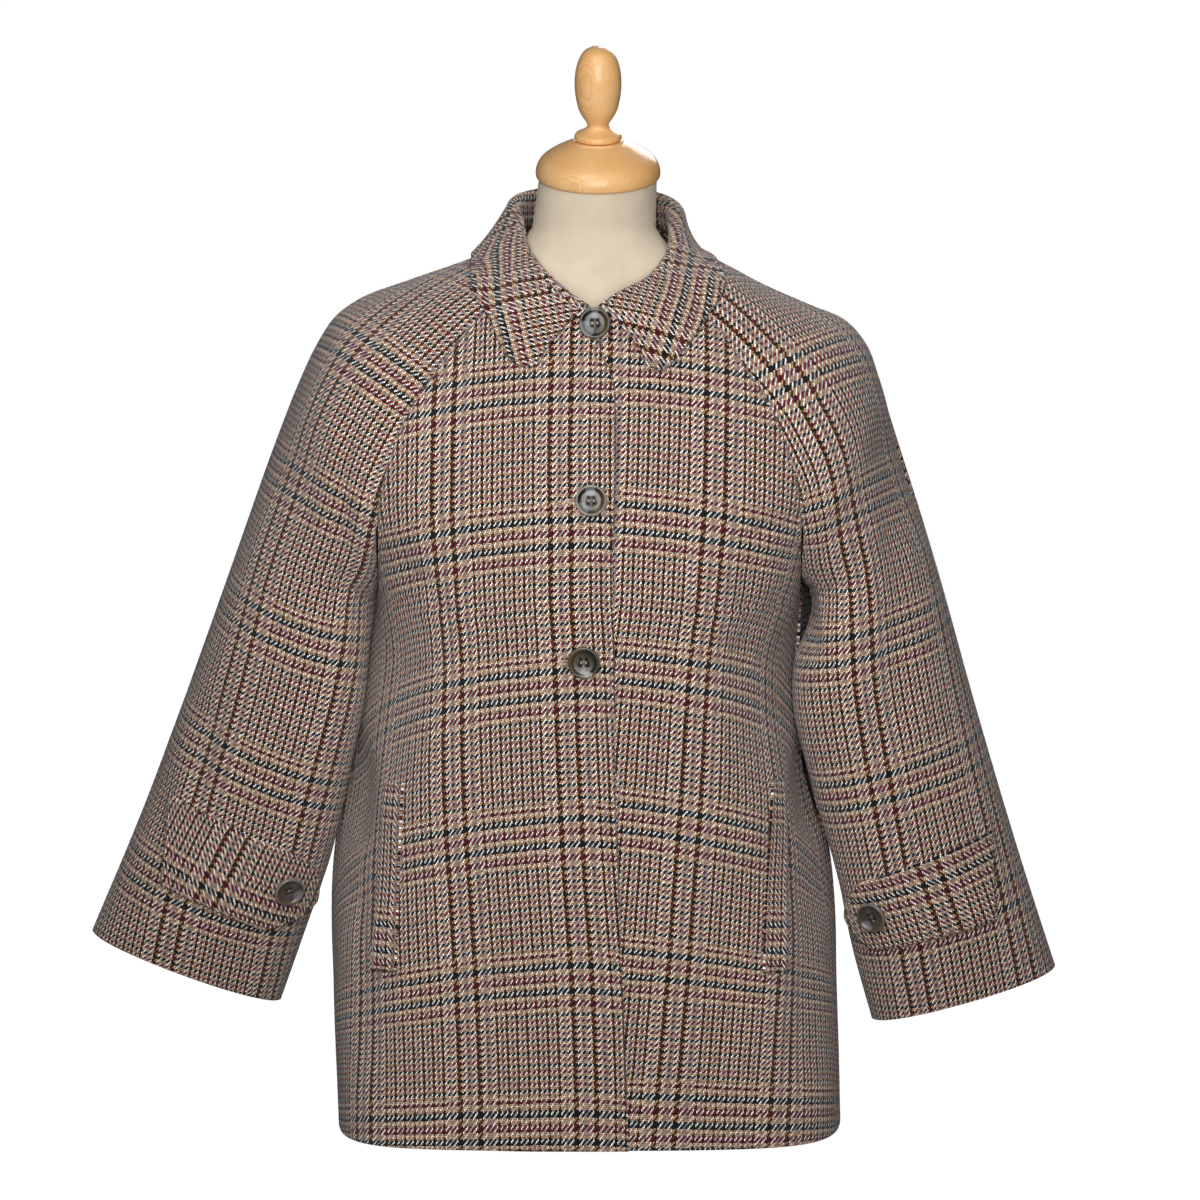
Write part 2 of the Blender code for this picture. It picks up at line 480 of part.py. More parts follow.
def lie_on(skin, grid, normals, gap, movable=None):
    """Move a grid of points out along its normals until its cells stand the gap off the skin."""
    rows, columns = grid.shape[:2]
    grid = grid.copy()
    corners = [((0, 0), (0, 0)), ((0, 0), (0, 1)), ((0, 0), (1, 0)), ((0, 1), (1, 0)), ((0, 0), (1, 1))]
    for _ in range(10):
        lack = np.zeros((rows, columns))
        for r in range(rows):
            for c in range(columns):
                for (ar, ac), (br, bc) in corners:
                    one = (min(r + ar, rows - 1), min(c + ac, columns - 1))
                    two = (min(r + br, rows - 1), min(c + bc, columns - 1))
                    probe = Vector((grid[one] + grid[two]) / 2)
                    near, face_normal, _, _ = skin.find_nearest(probe)
                    short = gap - (probe - near).dot(face_normal)
                    lack[one] = max(lack[one], short)
                    lack[two] = max(lack[two], short)
        if movable is not None:
            lack *= movable
        grid += normals * np.clip(lack, 0.0, None)[:, :, None]
        if lack.max() < 0.00002:
            break
    return grid


def build_panels():
    """Fronts, back and sleeves as walls of cloth. Returns their skin, for what lies on it."""
    grids, normals = cloth_grids()
    lap = grids["front_right"]
    lifts = np.array([[lap_lift(v, point) for point in row] for v, row in zip(STATIONS, lap)])
    grids["front_right"] = lap + normals["front_right"] * lifts[:, :, None]
    for name, grid in grids.items():
        trimmed = grid.copy()
        trim(trimmed, "first")
        if not name.startswith("front"):
            trim(trimmed, "last")
        wall(name, trimmed, trimmed - normals[name] * CLOTH)
    return skin_of(grids)


def neck_edge(side, v):
    """The neck seam of one side at v: 0 centre front, 1 and 3 raglan seams, 2 shoulder, 4 back."""
    if v <= 1 and side == LEFT:
        point, normal = on_front(LEFT, 0.0, v)
        return point + normal * lap_lift(0.0, point)
    if v <= 1:
        return body_row(side, FRONT, 0.0, v)[0]
    if v <= 2:
        return sleeve_row(side, FRONT, 0.0, 2 - v)[0]
    if v <= 3:
        return sleeve_row(side, BACK, 0.0, v - 2)[0]
    return body_row(side, BACK, 0.0, 4 - v)[0]


def collar_section(side, v):
    """The collar's face at one station: up the stand, over the roll, down the leaf."""
    leaf = at(LEAF_LEFT if side == LEFT else LEAF_RIGHT, v)
    foot = neck_edge(side, max(v, COLLAR_START)) + np.array([0, 0, NECK_SEAM_RISE])
    roll, edge = placed([(leaf.roll_out, -leaf.roll_on, leaf.roll_up),
                         (leaf.edge_out, -leaf.edge_on, leaf.edge_up)], side)
    away = edge - roll
    away[2] = 0
    away /= np.linalg.norm(away)
    up = np.array([0, 0, 1.0])
    centre = roll - up * leaf.round
    turn = [centre + leaf.round * (away * math.cos(a) + up * math.sin(a))
            for a in np.radians([175, 130, 90, 50, 10])]
    stand = [foot, (foot + turn[0]) / 2]
    fall_start = turn[-1]
    fall = edge - fall_start
    out = np.cross(np.cross(fall, up), fall)
    out /= max(np.linalg.norm(out), 1e-9)
    if out @ away < 0:
        out = -out
    leaf_points = [fall_start + fall * s + out * leaf.belly * 4 * s * (1 - s) for s in (0.3, 0.55, 0.8, 1.0)]
    return np.array(stand + turn + leaf_points)


def build_collar(skin):
    """The collar: stand, roll and both leaves in one wall around the neck, lying on the panels."""
    steps = 4 * np.linspace(0, 1, COLLAR_STEPS + 1) ** 1.15
    left = [collar_section(LEFT, v) for v in steps]
    right = [collar_section(RIGHT, v) for v in steps[:-1]]
    face = np.array(left + right[::-1])
    normals = normals_of(face, -1)
    leaf_only = np.zeros(face.shape[:2])
    leaf_only[:, 6:] = 1.0
    face = lie_on(skin, face, normals, CLOTH + LAYER_GAP, leaf_only)
    wall("collar", face, face - normals * CLOTH)


def on_front(side, v, t):
    """A point of a front's outer face and the unit normal there."""
    nudge = 0.004
    rows = [body_row(side, FRONT, v + dv, [t - nudge, t, t + nudge]) for dv in (-nudge, 0.0, nudge)]
    normal = side * np.cross(rows[1][0] - rows[1][2], rows[2][1] - rows[0][1])
    return rows[1][1], normal / np.linalg.norm(normal)


def on_sleeve(side, v, t):
    """A point of a sleeve's front half and the unit normal there."""
    nudge = 0.004
    rows = [sleeve_row(side, FRONT, v + dv, [t - nudge, t, t + nudge]) for dv in (-nudge, 0.0, nudge)]
    normal = side * np.cross(rows[1][2] - rows[1][0], rows[2][1] - rows[0][1])
    return rows[1][1], normal / np.linalg.norm(normal)


def strip(name, skin, points, normals, thick):
    """A flat piece lying on a panel: the panel's points, moved out by the gap and its thickness."""
    normals = np.array(normals)
    under = lie_on(skin, np.array(points), normals, LAYER_GAP)
    wall(name, under + normals * thick, under)


def row_speed(row, side, v, t):
    """Metres of row for each unit of t."""
    a, b = row(side, FRONT, v, [t - 0.01, t + 0.01])
    return np.linalg.norm(b - a) / 0.02


def build_welts(skin):
    """A folded strip over each pocket opening, its seam towards the centre."""
    for side, wearer in ((LEFT, "right"), (RIGHT, "left")):
        points, normals = [], []
        for s in np.linspace(0, 1, 9):
            v = WELT_TOP + (WELT_LOW - WELT_TOP) * s
            middle = share_at_x(side, v, WELT_OUT[side][0] + (WELT_OUT[side][1] - WELT_OUT[side][0]) * s)
            half = WELT_HALF / row_speed(body_row, side, v, middle)
            found = [on_front(side, v, middle + half * k) for k in np.linspace(-1, 1, 5)]
            points.append([p for p, n in found])
            normals.append([n for p, n in found])
        strip(f"welt_{wearer}", skin, points, normals, WELT_THICK)


def build_tabs(skin):
    """A tab on each cuff, seamed in on the outer side, lying across the front to its blunt point."""
    for side, wearer in ((LEFT, "right"), (RIGHT, "left")):
        upper, lower = (np.array(edge) for edge in TAB_EDGES[side])
        points, normals = [], []
        for s in np.linspace(0, 1, 15):
            found = []
            for k in np.linspace(0, 1, 5):
                root_v, root_t, corner_v, corner_t = upper + (lower - upper) * k
                tip_t = corner_t + TAB_POINT[side] * (1 - abs(2 * k - 1)**1.3)
                found.append(on_sleeve(side, root_v + (corner_v - root_v) * s, root_t + (tip_t - root_t) * s))
            points.append([p for p, n in found])
            normals.append([n for p, n in found])
        strip(f"tab_{wearer}", skin, points, normals, TAB_THICK)


# ------------------------------------------------------------------ buttons
Profile = namedtuple("Profile", "radius height")
BUTTON = [Profile(0.0092, 0.0000), Profile(0.0119, 0.0010), Profile(0.0127, 0.0024), Profile(0.0124, 0.0038),
          Profile(0.0113, 0.0046), Profile(0.0101, 0.0043), Profile(0.0088, 0.0032), Profile(0.0060, 0.0028)]
BUTTON_SIDES = 20
HOLE_RADIUS, HOLE_PITCH, HOLE_SIDES = 0.00115, 0.0042, 6


def turned(name, profile, finish, sides, place):
    """A turned piece: a profile of radius and height swept round its axis."""
    verts, rings = [], []
    for radius, height in profile:
        if radius == 0.0:
            rings.append([len(verts)])
            verts.append((0.0, 0.0, height))
            continue
        rings.append(list(range(len(verts), len(verts) + sides)))
        verts += [(radius * math.cos(2 * math.pi * k / sides), radius * math.sin(2 * math.pi * k / sides), height)
                  for k in range(sides)]
    faces = []
    for low, high in zip(rings, rings[1:]):
        for k in range(sides):
            n = (k + 1) % sides
            if len(low) == 1:
                faces.append((low[0], high[n], high[k]))
            elif len(high) == 1:
                faces.append((low[k], low[n], high[0]))
            else:
                faces.append((low[k], low[n], high[n], high[k]))
    for ring in (rings[0], rings[-1]):
        if len(ring) > 1:
            faces.append(tuple(ring))
    made = solid(name, verts, faces, finish, sharp=math.radians(50))
    made.data.transform(place)
    return made


def standing(point, normal, up=(0, 0, 1)):
    """The placement that turns +Z to a surface's normal at a point of it."""
    z = Vector(normal).normalized()
    x = Vector(up).cross(z).normalized()
    y = z.cross(x)
    turn = Matrix((x, y, z)).transposed().to_4x4()
    return Matrix.Translation(Vector(point)) @ turn


def build_button(name, point, normal):
    """A four-hole button with a raised rim, lying on the surface at point."""
    place = standing(np.array(point) + np.array(normal) * LAYER_GAP, normal)
    button = turned(name, BUTTON, HORN, BUTTON_SIDES, Matrix.Identity(4))
    half = HOLE_PITCH / 2
    bm = bmesh.new()
    for x, y in ((half, half), (-half, half), (-half, -half), (half, -half)):
        bmesh.ops.create_cone(bm, cap_ends=True, segments=HOLE_SIDES, radius1=HOLE_RADIUS, radius2=HOLE_RADIUS,
                              depth=0.02, matrix=Matrix.Translation((x, y, 0)))
    drill_mesh = bpy.data.meshes.new(name + "_drill")
    bm.to_mesh(drill_mesh)
    bm.free()
    drill = bpy.data.objects.new(name + "_drill", drill_mesh)
    bpy.context.collection.objects.link(drill)
    drill.hide_render = True
    drill.display_type = "WIRE"
    cut = button.modifiers.new("holes", "BOOLEAN")
    cut.operation = "DIFFERENCE"
    cut.object = drill
    button.matrix_world = place
    drill.parent = button


def build_buttons():
    """Three buttons on the overlapping front and one on each cuff tab."""
    raise_by = CLOTH + LAYER_GAP
    for name, v, out in zip(("button_top", "button_middle", "button_low"), FRONT_BUTTON_STATIONS,
                            FRONT_BUTTON_OUT):
        side = RIGHT if out > 0 else LEFT
        share = share_at_x(side, v, abs(out))
        point, normal = on_front(side, v, max(share, 0.004))
        build_button(name, point + normal * raise_by, normal)
    for side, wearer in ((LEFT, "right"), (RIGHT, "left")):
        point, normal = on_sleeve(side, *CUFF_BUTTON[side])
        build_button(f"cuff_button_{wearer}", point + normal * (LAYER_GAP + TAB_THICK), normal)


# ------------------------------------------------------------------ the form
def build_form():
    """The padded torso: rings up to the neck, then rings that lean over to the neck plate."""
    angles = [2 * math.pi * k / TORSO_SIDES for k in range(TORSO_SIDES)]
    rings = []
    for ring in TORSO:
        points = []
        for a in angles:
            c, s = math.cos(a), math.sin(a)
            x = ring.wide * math.copysign(abs(c) ** (2 / ring.square), c)
            depth = ring.front if s < 0 else ring.back
            y = depth * math.copysign(abs(s) ** (2 / ring.square), s)
            points.append(np.array([x, y, ring.v]))
        rings.append(points)
    lean = Matrix.Rotation(NECK_TILT, 3, "X")
    top = [np.array(NECK_TOP + lean @ Vector((NECK_RADIUS * math.cos(a), NECK_RADIUS * math.sin(a), 0)))
           for a in angles]
    last = rings[-1]
    for k in range(1, NECK_STEPS + 1):
        s = k / NECK_STEPS
        rings.append([a + (b - a) * s for a, b in zip(last, top)])
    verts = [p for ring in rings for p in ring]
    faces = []
    for r in range(len(rings) - 1):
        for k in range(TORSO_SIDES):
            n = (k + 1) % TORSO_SIDES
            low, high = r * TORSO_SIDES, (r + 1) * TORSO_SIDES
            faces.append((low + k, low + n, high + n, high + k))
    faces.append(tuple(range(TORSO_SIDES)))
    faces.append(tuple(range(len(verts) - TORSO_SIDES, len(verts))))
    solid("form_torso", [tuple(p) for p in verts], faces, JERSEY)


def build_stand():
    """Turned wood: the neck cap and finial above, the column and base below."""
    lean = Matrix.Translation(NECK_TOP) @ Matrix.Rotation(NECK_TILT, 4, "X")
    turned("neck_cap", CAP, BEECH, TURNED_SIDES, lean @ Matrix.Translation((0, 0, SEAM_GAP)))
    above = CAP[-1].height + 2 * SEAM_GAP
    turned("finial", FINIAL, BEECH, 20, lean @ Matrix.Translation((0, 0, above)))
    turned("column", COLUMN, BEECH, 20, Matrix.Translation((0, 0, BASE_THICK + SEAM_GAP)))
    edge = [Turned(0.0, 0.0), Turned(BASE_RADIUS, 0.0)]
    edge += [Turned(BASE_RADIUS - BASE_ROUND * (1 - math.cos(a)), BASE_THICK - BASE_ROUND * (1 - math.sin(a)))
             for a in np.radians([0, 30, 60, 90])]
    edge.append(Turned(0.0, BASE_THICK))
    turned("base", edge, BEECH, 36, Matrix.Identity(4))


def main():
    clear_scene()
    skin = build_panels()
    build_collar(skin)
    build_welts(skin)
    build_tabs(skin)
    build_buttons()
    build_form()
    build_stand()


main()
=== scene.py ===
# %% [markdown]
# # A tweed raglan jacket on its dress form
# This lesson dresses a model that already has its true sizes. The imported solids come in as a
# fixed frame: every cloth wall, button and turned piece stands where it belongs. What is made
# here is what the eye wants on top of that: fine cloth with its weave, creases and stitches,
# horn buttons, a jersey-covered form and polished wood.
# Units are metres, +Z is up, and the jacket's front faces -Y.

# %% Load the frame
import json
import math
from collections import namedtuple

import bpy
import numpy as np
from mathutils import Matrix, Vector
from mathutils.bvhtree import BVHTree

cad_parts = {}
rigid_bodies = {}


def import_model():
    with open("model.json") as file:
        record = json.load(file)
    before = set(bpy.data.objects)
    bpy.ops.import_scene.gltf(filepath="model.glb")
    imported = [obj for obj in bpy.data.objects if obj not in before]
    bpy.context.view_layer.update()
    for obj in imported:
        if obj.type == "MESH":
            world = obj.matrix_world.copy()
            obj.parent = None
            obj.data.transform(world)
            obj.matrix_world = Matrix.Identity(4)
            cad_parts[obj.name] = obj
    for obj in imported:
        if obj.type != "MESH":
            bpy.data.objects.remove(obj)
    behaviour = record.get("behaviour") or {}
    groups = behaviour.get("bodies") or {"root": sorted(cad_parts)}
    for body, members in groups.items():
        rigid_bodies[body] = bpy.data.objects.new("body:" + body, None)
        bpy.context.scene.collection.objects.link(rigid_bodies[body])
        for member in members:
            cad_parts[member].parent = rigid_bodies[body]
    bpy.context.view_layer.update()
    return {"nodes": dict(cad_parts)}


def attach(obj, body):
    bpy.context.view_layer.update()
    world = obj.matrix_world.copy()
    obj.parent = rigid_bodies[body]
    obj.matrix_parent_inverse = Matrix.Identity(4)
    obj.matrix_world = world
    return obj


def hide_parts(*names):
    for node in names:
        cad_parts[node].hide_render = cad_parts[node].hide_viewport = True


for item in list(bpy.data.objects):
    bpy.data.objects.remove(item, do_unlink=True)

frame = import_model()

# %% [markdown]
# ## The camera
# The picture was taken from far off with a long lens, a little from above, so upright lines
# stay upright and the cap of the form shows just a sliver of its top. A camera 4.5 m away at
# 7 degrees does the same. Its lens is worked out from how large a pixel of the 1200-pixel
# picture is on the jacket, which is simpler to reason about than a guessed focal length.

# %% Camera
PICTURE_PIXELS = 1200
PIXEL_SIZE = 0.00082                    # on the jacket, at the side plane
CAMERA_AWAY = 4.5
CAMERA_RISE = math.radians(7)
LOOK_AT = Vector((0.005, 0.0, 0.4296))

camera_data = bpy.data.cameras.new("camera")
camera_data.sensor_width = 36
camera_data.lens = camera_data.sensor_width * CAMERA_AWAY / (PICTURE_PIXELS * PIXEL_SIZE)
camera_data.clip_end = 400
camera = bpy.data.objects.new("camera", camera_data)
camera.location = LOOK_AT + CAMERA_AWAY * Vector((0, -math.cos(CAMERA_RISE), math.sin(CAMERA_RISE)))
camera.rotation_euler = (math.radians(90) - CAMERA_RISE, 0, 0)
bpy.context.collection.objects.link(camera)
bpy.context.scene.camera = camera
print("lens:", round(camera_data.lens, 1), "mm")

# %% [markdown]
# ## Floor and light
# A shop picture on white has no horizon: the floor and the air above it are the same pale
# tone. One very wide floor under a white sky gives that without a wall, so the jacket can be
# looked at from every side. A sky that bright would also flatten every fold, so the sky and
# the floor look brighter to the camera than the light they give: the Light Path node tells the
# two apart. The light itself comes from a few soft lamps close in front, chest high and a
# little above, so it falls off towards the sides, the hem and the cuffs as it does in the
# picture. One more lamp behind keeps the back readable.

# %% Floor and light
FLOOR_HALF = 120.0
floor_mesh = bpy.data.meshes.new("floor")
floor_mesh.from_pydata([(-FLOOR_HALF, -FLOOR_HALF, 0), (FLOOR_HALF, -FLOOR_HALF, 0),
                        (FLOOR_HALF, FLOOR_HALF, 0), (-FLOOR_HALF, FLOOR_HALF, 0)], [], [(0, 1, 2, 3)])
floor_paint = bpy.data.materials.new("floor_paint")
floor_paint.use_nodes = True
floor_shader = floor_paint.node_tree.nodes["Principled BSDF"]
floor_shader.inputs["Base Color"].default_value = (0.2, 0.2, 0.2, 1)
floor_shader.inputs["Roughness"].default_value = 1.0
floor_shader.inputs["Specular IOR Level"].default_value = 0.0
floor_shader.inputs["Emission Color"].default_value = (1, 1, 1, 1)
floor_paths = floor_paint.node_tree.nodes.new("ShaderNodeLightPath")
floor_glow = floor_paint.node_tree.nodes.new("ShaderNodeMath")
floor_glow.operation = "MULTIPLY"
floor_glow.inputs[1].default_value = 0.985
floor_paint.node_tree.links.new(floor_paths.outputs["Is Camera Ray"], floor_glow.inputs[0])
floor_paint.node_tree.links.new(floor_glow.outputs[0], floor_shader.inputs["Emission Strength"])
floor_mesh.materials.append(floor_paint)
floor = bpy.data.objects.new("floor", floor_mesh)
bpy.context.collection.objects.link(floor)

sky = bpy.data.worlds.new("sky")
sky.use_nodes = True
sky.node_tree.nodes["Background"].inputs["Color"].default_value = (1, 1, 1, 1)
SKY_LIGHT, SKY_LOOK = 0.08, 1.0
sky_paths = sky.node_tree.nodes.new("ShaderNodeLightPath")
sky_glow = sky.node_tree.nodes.new("ShaderNodeMapRange")
sky_glow.inputs["To Min"].default_value = SKY_LIGHT
sky_glow.inputs["To Max"].default_value = SKY_LOOK
sky.node_tree.links.new(sky_paths.outputs["Is Camera Ray"], sky_glow.inputs["Value"])
sky.node_tree.links.new(sky_glow.outputs["Result"], sky.node_tree.nodes["Background"].inputs["Strength"])
bpy.context.scene.world = sky
bpy.context.scene.view_settings.view_transform = "Standard"


CHEST = Vector((0.0, -0.1, 0.5))


def soft_lamp(name, place, size, watts):
    """A square lamp that faces the jacket's chest."""
    data = bpy.data.lights.new(name, "AREA")
    data.shape = "SQUARE"
    data.size = size
    data.energy = watts
    lamp = bpy.data.objects.new(name, data)
    lamp.location = place
    lamp.rotation_euler = (CHEST - Vector(place)).to_track_quat("-Z", "Y").to_euler()
    lamp.visible_camera = False
    bpy.context.collection.objects.link(lamp)
    return lamp


soft_lamp("lamp_middle", (0.0, -1.6, 0.8), 0.9, 17.0)
soft_lamp("lamp_left", (-0.35, -1.0, 1.45), 0.6, 4.2)
soft_lamp("lamp_right", (0.35, -1.0, 1.45), 0.6, 2.1)
soft_lamp("lamp_far_right", (0.90, -1.35, 1.05), 0.9, 0.6)
soft_lamp("lamp_back", (0.6, 2.2, 1.9), 1.2, 24)

# %% [markdown]
# ## Small tools for materials
# A procedural material is arithmetic on the surface's coordinates, done by nodes. Writing each
# node out takes many lines, so three helpers keep the recipes short: one feeds a socket with a
# number or a link, one adds a Math node and one adds a colour mix. An effect becomes a node
# group with named inputs and outputs, so that it can be used again with other values.

# %% Node helpers


def feed(tree, value, socket):
    """Give a socket a number, a colour or another node's output."""
    if isinstance(value, bpy.types.NodeSocket):
        tree.links.new(value, socket)
    else:
        socket.default_value = value


def calc(tree, operation, *values, clamp=False):
    """A Math node with its inputs fed, and its output."""
    node = tree.nodes.new("ShaderNodeMath")
    node.operation = operation
    node.use_clamp = clamp
    for value, socket in zip(values, node.inputs):
        feed(tree, value, socket)
    return node.outputs[0]


def blended(tree, share, one, two, blend="MIX"):
    """A colour between one and two."""
    node = tree.nodes.new("ShaderNodeMix")
    node.data_type = "RGBA"
    node.blend_type = blend
    for value, socket in ((share, node.inputs[0]), (one, node.inputs[6]), (two, node.inputs[7])):
        feed(tree, value, socket)
    return node.outputs[2]


def stepped(tree, value, low, high):
    """0 below low, 1 above high, a smooth slope between."""
    node = tree.nodes.new("ShaderNodeMapRange")
    node.interpolation_type = "SMOOTHSTEP"
    for put, socket in ((value, "Value"), (low, "From Min"), (high, "From Max")):
        feed(tree, put, node.inputs[socket])
    return node.outputs["Result"]


def noise(tree, vector, scale, detail=2.0, dimensions="3D"):
    """The value of a Noise texture."""
    node = tree.nodes.new("ShaderNodeTexNoise")
    node.noise_dimensions = dimensions
    for value, socket in ((vector, "Vector"), (scale, "Scale"), (detail, "Detail")):
        feed(tree, value, node.inputs[socket])
    return node.outputs["Fac"]


def combined(tree, x, y, z=0.0):
    """Three numbers as one vector."""
    node = tree.nodes.new("ShaderNodeCombineXYZ")
    for value, socket in zip((x, y, z), node.inputs):
        feed(tree, value, socket)
    return node.outputs[0]


def parts_of(tree, vector):
    """The three numbers of a vector."""
    node = tree.nodes.new("ShaderNodeSeparateXYZ")
    feed(tree, vector, node.inputs[0])
    return node.outputs


def new_group(name, inputs, outputs):
    """An empty node group with named sockets: the tree, its input values and its output sockets."""
    tree = bpy.data.node_groups.new(name, "ShaderNodeTree")
    for label, default in inputs.items():
        kind = {float: "Float", tuple: "Color", list: "Vector"}[type(default)]
        socket = tree.interface.new_socket(label, in_out="INPUT", socket_type="NodeSocket" + kind)
        socket.default_value = default
    for label, kind in outputs.items():
        tree.interface.new_socket(label, in_out="OUTPUT", socket_type="NodeSocket" + kind)
    return tree, tree.nodes.new("NodeGroupInput").outputs, tree.nodes.new("NodeGroupOutput").inputs


def use_group(tree, group, **values):
    """Place a node group in a tree. Spaces in a socket's name are written as _."""
    node = tree.nodes.new("ShaderNodeGroup")
    node.node_tree = group
    for label, value in values.items():
        feed(tree, value, node.inputs[label.replace("_", " ")])
    return node.outputs


def srgb(red, green, blue):
    """A colour as a painter reads it off a screen (0 to 255), as the light values Blender mixes."""
    light = [c / 255 for c in (red, green, blue)]
    return tuple([c / 12.92 if c <= 0.04045 else ((c + 0.055) / 1.055)**2.4 for c in light] + [1.0])


def new_material(name, roughness, **sockets):
    """A material, its tree and its shader, with the values that are the same all over."""
    made = bpy.data.materials.new(name)
    made.use_nodes = True
    shader = made.node_tree.nodes["Principled BSDF"]
    shader.inputs["Roughness"].default_value = roughness
    for label, value in sockets.items():
        shader.inputs[label.replace("_", " ")].default_value = value
    return made, made.node_tree, shader


def raise_surface(tree, shader, height, distance, strength=1.0):
    """Let a height, in parts of a distance in metres, bend the shader's normal."""
    bump = tree.nodes.new("ShaderNodeBump")
    bump.inputs["Distance"].default_value = distance
    bump.inputs["Strength"].default_value = strength
    feed(tree, height, bump.inputs["Height"])
    tree.links.new(bump.outputs["Normal"], shader.inputs["Normal"])


print("a camel yarn is", [round(c, 3) for c in srgb(205, 160, 105)[:3]], "to Blender")

# %% [markdown]
# ## The order of the yarns
# The cloth is a glen check: a traditional weave in which small checks of two dark and two
# light yarns take turns with a field of four and four. The weaver charts it as a list of
# yarns that repeats, the same list across and down with other colours: dark, light, accent,
# light, two yarns each, six times over, and then wider stripes of four. The chart is short,
# so it is kept as that list. A Color Ramp with constant steps can hold it, and since one ramp
# holds at most 32 steps, the small checks take one ramp and the wide stripes another.

# %% Yarn chart
SMALL = "DDLLAALL"                                          # two yarns of each, dark, light, accent, light
WIDE = "LLLLAALLLL" + "DDDD" + "LLLLAAAALLLL" + "DDDD" + "LLLLAAAALLLL"
SMALL_TURNS = 6
START_WIDE = SMALL_TURNS * len(SMALL) + 2                  # one more dark pair closes the small checks
REPEAT = START_WIDE + len(WIDE)
YARN_MARK = {"D": (1, 0, 0, 1), "L": (0, 0, 0, 1), "A": (0, 1, 0, 1)}


def chart_ramp(tree, chart, place):
    """The chart as steps of a ramp: red marks dark yarns, green marks accent yarns."""
    node = tree.nodes.new("ShaderNodeValToRGB")
    ramp = node.color_ramp
    ramp.interpolation = "CONSTANT"
    starts = [k for k in range(len(chart)) if k == 0 or chart[k] != chart[k - 1]]
    ramp.elements.remove(ramp.elements[1])
    for k in starts:
        element = ramp.elements[0] if k == 0 else ramp.elements.new(k / len(chart))
        element.color = YARN_MARK[chart[k]]
    feed(tree, calc(tree, "DIVIDE", calc(tree, "ADD", place, 0.5), float(len(chart))), node.inputs["Fac"])
    return node.outputs["Color"]


order, given, out = new_group("Yarn order", {"Yarn": 0.0, "Dark": (0.1, 0.1, 0.1, 1.0),
                                             "Light": (0.8, 0.8, 0.8, 1.0), "Accent": (0.5, 0.5, 0.5, 1.0)},
                              {"Color": "Color", "Dark mark": "Float"})
turn = calc(order, "FLOORED_MODULO", given["Yarn"], float(REPEAT))
small = chart_ramp(order, SMALL, calc(order, "FLOORED_MODULO", turn, float(len(SMALL))))
wide = chart_ramp(order, WIDE, calc(order, "SUBTRACT", turn, float(START_WIDE)))
in_wide = calc(order, "GREATER_THAN", turn, START_WIDE - 0.5)
marks = order.nodes.new("ShaderNodeSeparateColor")
order.links.new(blended(order, in_wide, small, wide), marks.inputs[0])
yarn = blended(order, marks.outputs["Green"], given["Light"], given["Accent"])
feed(order, blended(order, marks.outputs["Red"], yarn, given["Dark"]), out["Color"])
feed(order, marks.outputs["Red"], out["Dark mark"])
print("the check repeats every", REPEAT, "yarns")

# %% [markdown]
# ## The twill
# In a two-and-two twill each yarn passes over two and under two, one step further on in every
# row, which draws short diagonal strokes. Counting yarns across (j) and up (i), the warp is on
# top where (j - i) divided by 4 leaves 0 or 1. The same count says how far along its float a
# yarn is, so one group gives both what is on top and how high it stands: each float is round
# across and dives at its ends. The weft is the loftier yarn here and swells over the ends and
# sides of the warp's floats, so the warp shows only as short dashes: its share is an input.

# %% Twill group
twill, given, out = new_group("Twill weave", {"Across": 0.0, "Up": 0.0, "Warp share": 0.7},
                              {"Warp on top": "Float", "Height": "Float"})
j, i = calc(twill, "FLOOR", given["Across"]), calc(twill, "FLOOR", given["Up"])
part_j, part_i = calc(twill, "FRACT", given["Across"]), calc(twill, "FRACT", given["Up"])
count = calc(twill, "FLOORED_MODULO", calc(twill, "SUBTRACT", j, i), 4.0)
warp_top = calc(twill, "LESS_THAN", count, 1.5)


def choose(tree, share, one, two):
    """one where share is 1, two where it is 0."""
    return calc(tree, "ADD", calc(tree, "MULTIPLY", share, one),
                calc(tree, "MULTIPLY", calc(tree, "SUBTRACT", 1.0, share), two))


beside = choose(twill, warp_top, part_j, part_i)
along = choose(twill, warp_top, calc(twill, "SUBTRACT", calc(twill, "ADD", part_i, 1.0), count),
               calc(twill, "ADD", part_j, calc(twill, "SUBTRACT", count, 2.0)))
along = calc(twill, "MULTIPLY", along, 0.5)
round_across = calc(twill, "SUBTRACT", 1.0, calc(twill, "POWER", calc(
    twill, "ABSOLUTE", calc(twill, "SUBTRACT", calc(twill, "MULTIPLY", beside, 2.0), 1.0)), 2.2))
dive = calc(twill, "SUBTRACT", 1.0, calc(twill, "POWER", calc(
    twill, "ABSOLUTE", calc(twill, "SUBTRACT", calc(twill, "MULTIPLY", along, 2.0), 1.0)), 3.0))
height = calc(twill, "MULTIPLY", calc(twill, "SQRT", round_across),
              calc(twill, "MULTIPLY_ADD", dive, 0.6, 0.4))
mid_float = calc(twill, "LESS_THAN", calc(twill, "ABSOLUTE", calc(
    twill, "MULTIPLY_ADD", along, 2.0, -1.0)), given["Warp share"])
mid_yarn = calc(twill, "LESS_THAN", calc(twill, "ABSOLUTE", calc(
    twill, "MULTIPLY_ADD", part_j, 2.0, -1.0)), calc(twill, "ADD", given["Warp share"], 0.12))
shown = calc(twill, "MULTIPLY", warp_top, calc(twill, "MULTIPLY", mid_float, mid_yarn))
swollen = calc(twill, "MULTIPLY", calc(twill, "SQRT", calc(twill, "SUBTRACT", 1.0, calc(twill, "POWER", calc(
    twill, "ABSOLUTE", calc(twill, "MULTIPLY_ADD", part_i, 2.0, -1.0)), 2.2))), 0.55)
hidden = calc(twill, "SUBTRACT", warp_top, shown)
feed(twill, shown, out["Warp on top"])
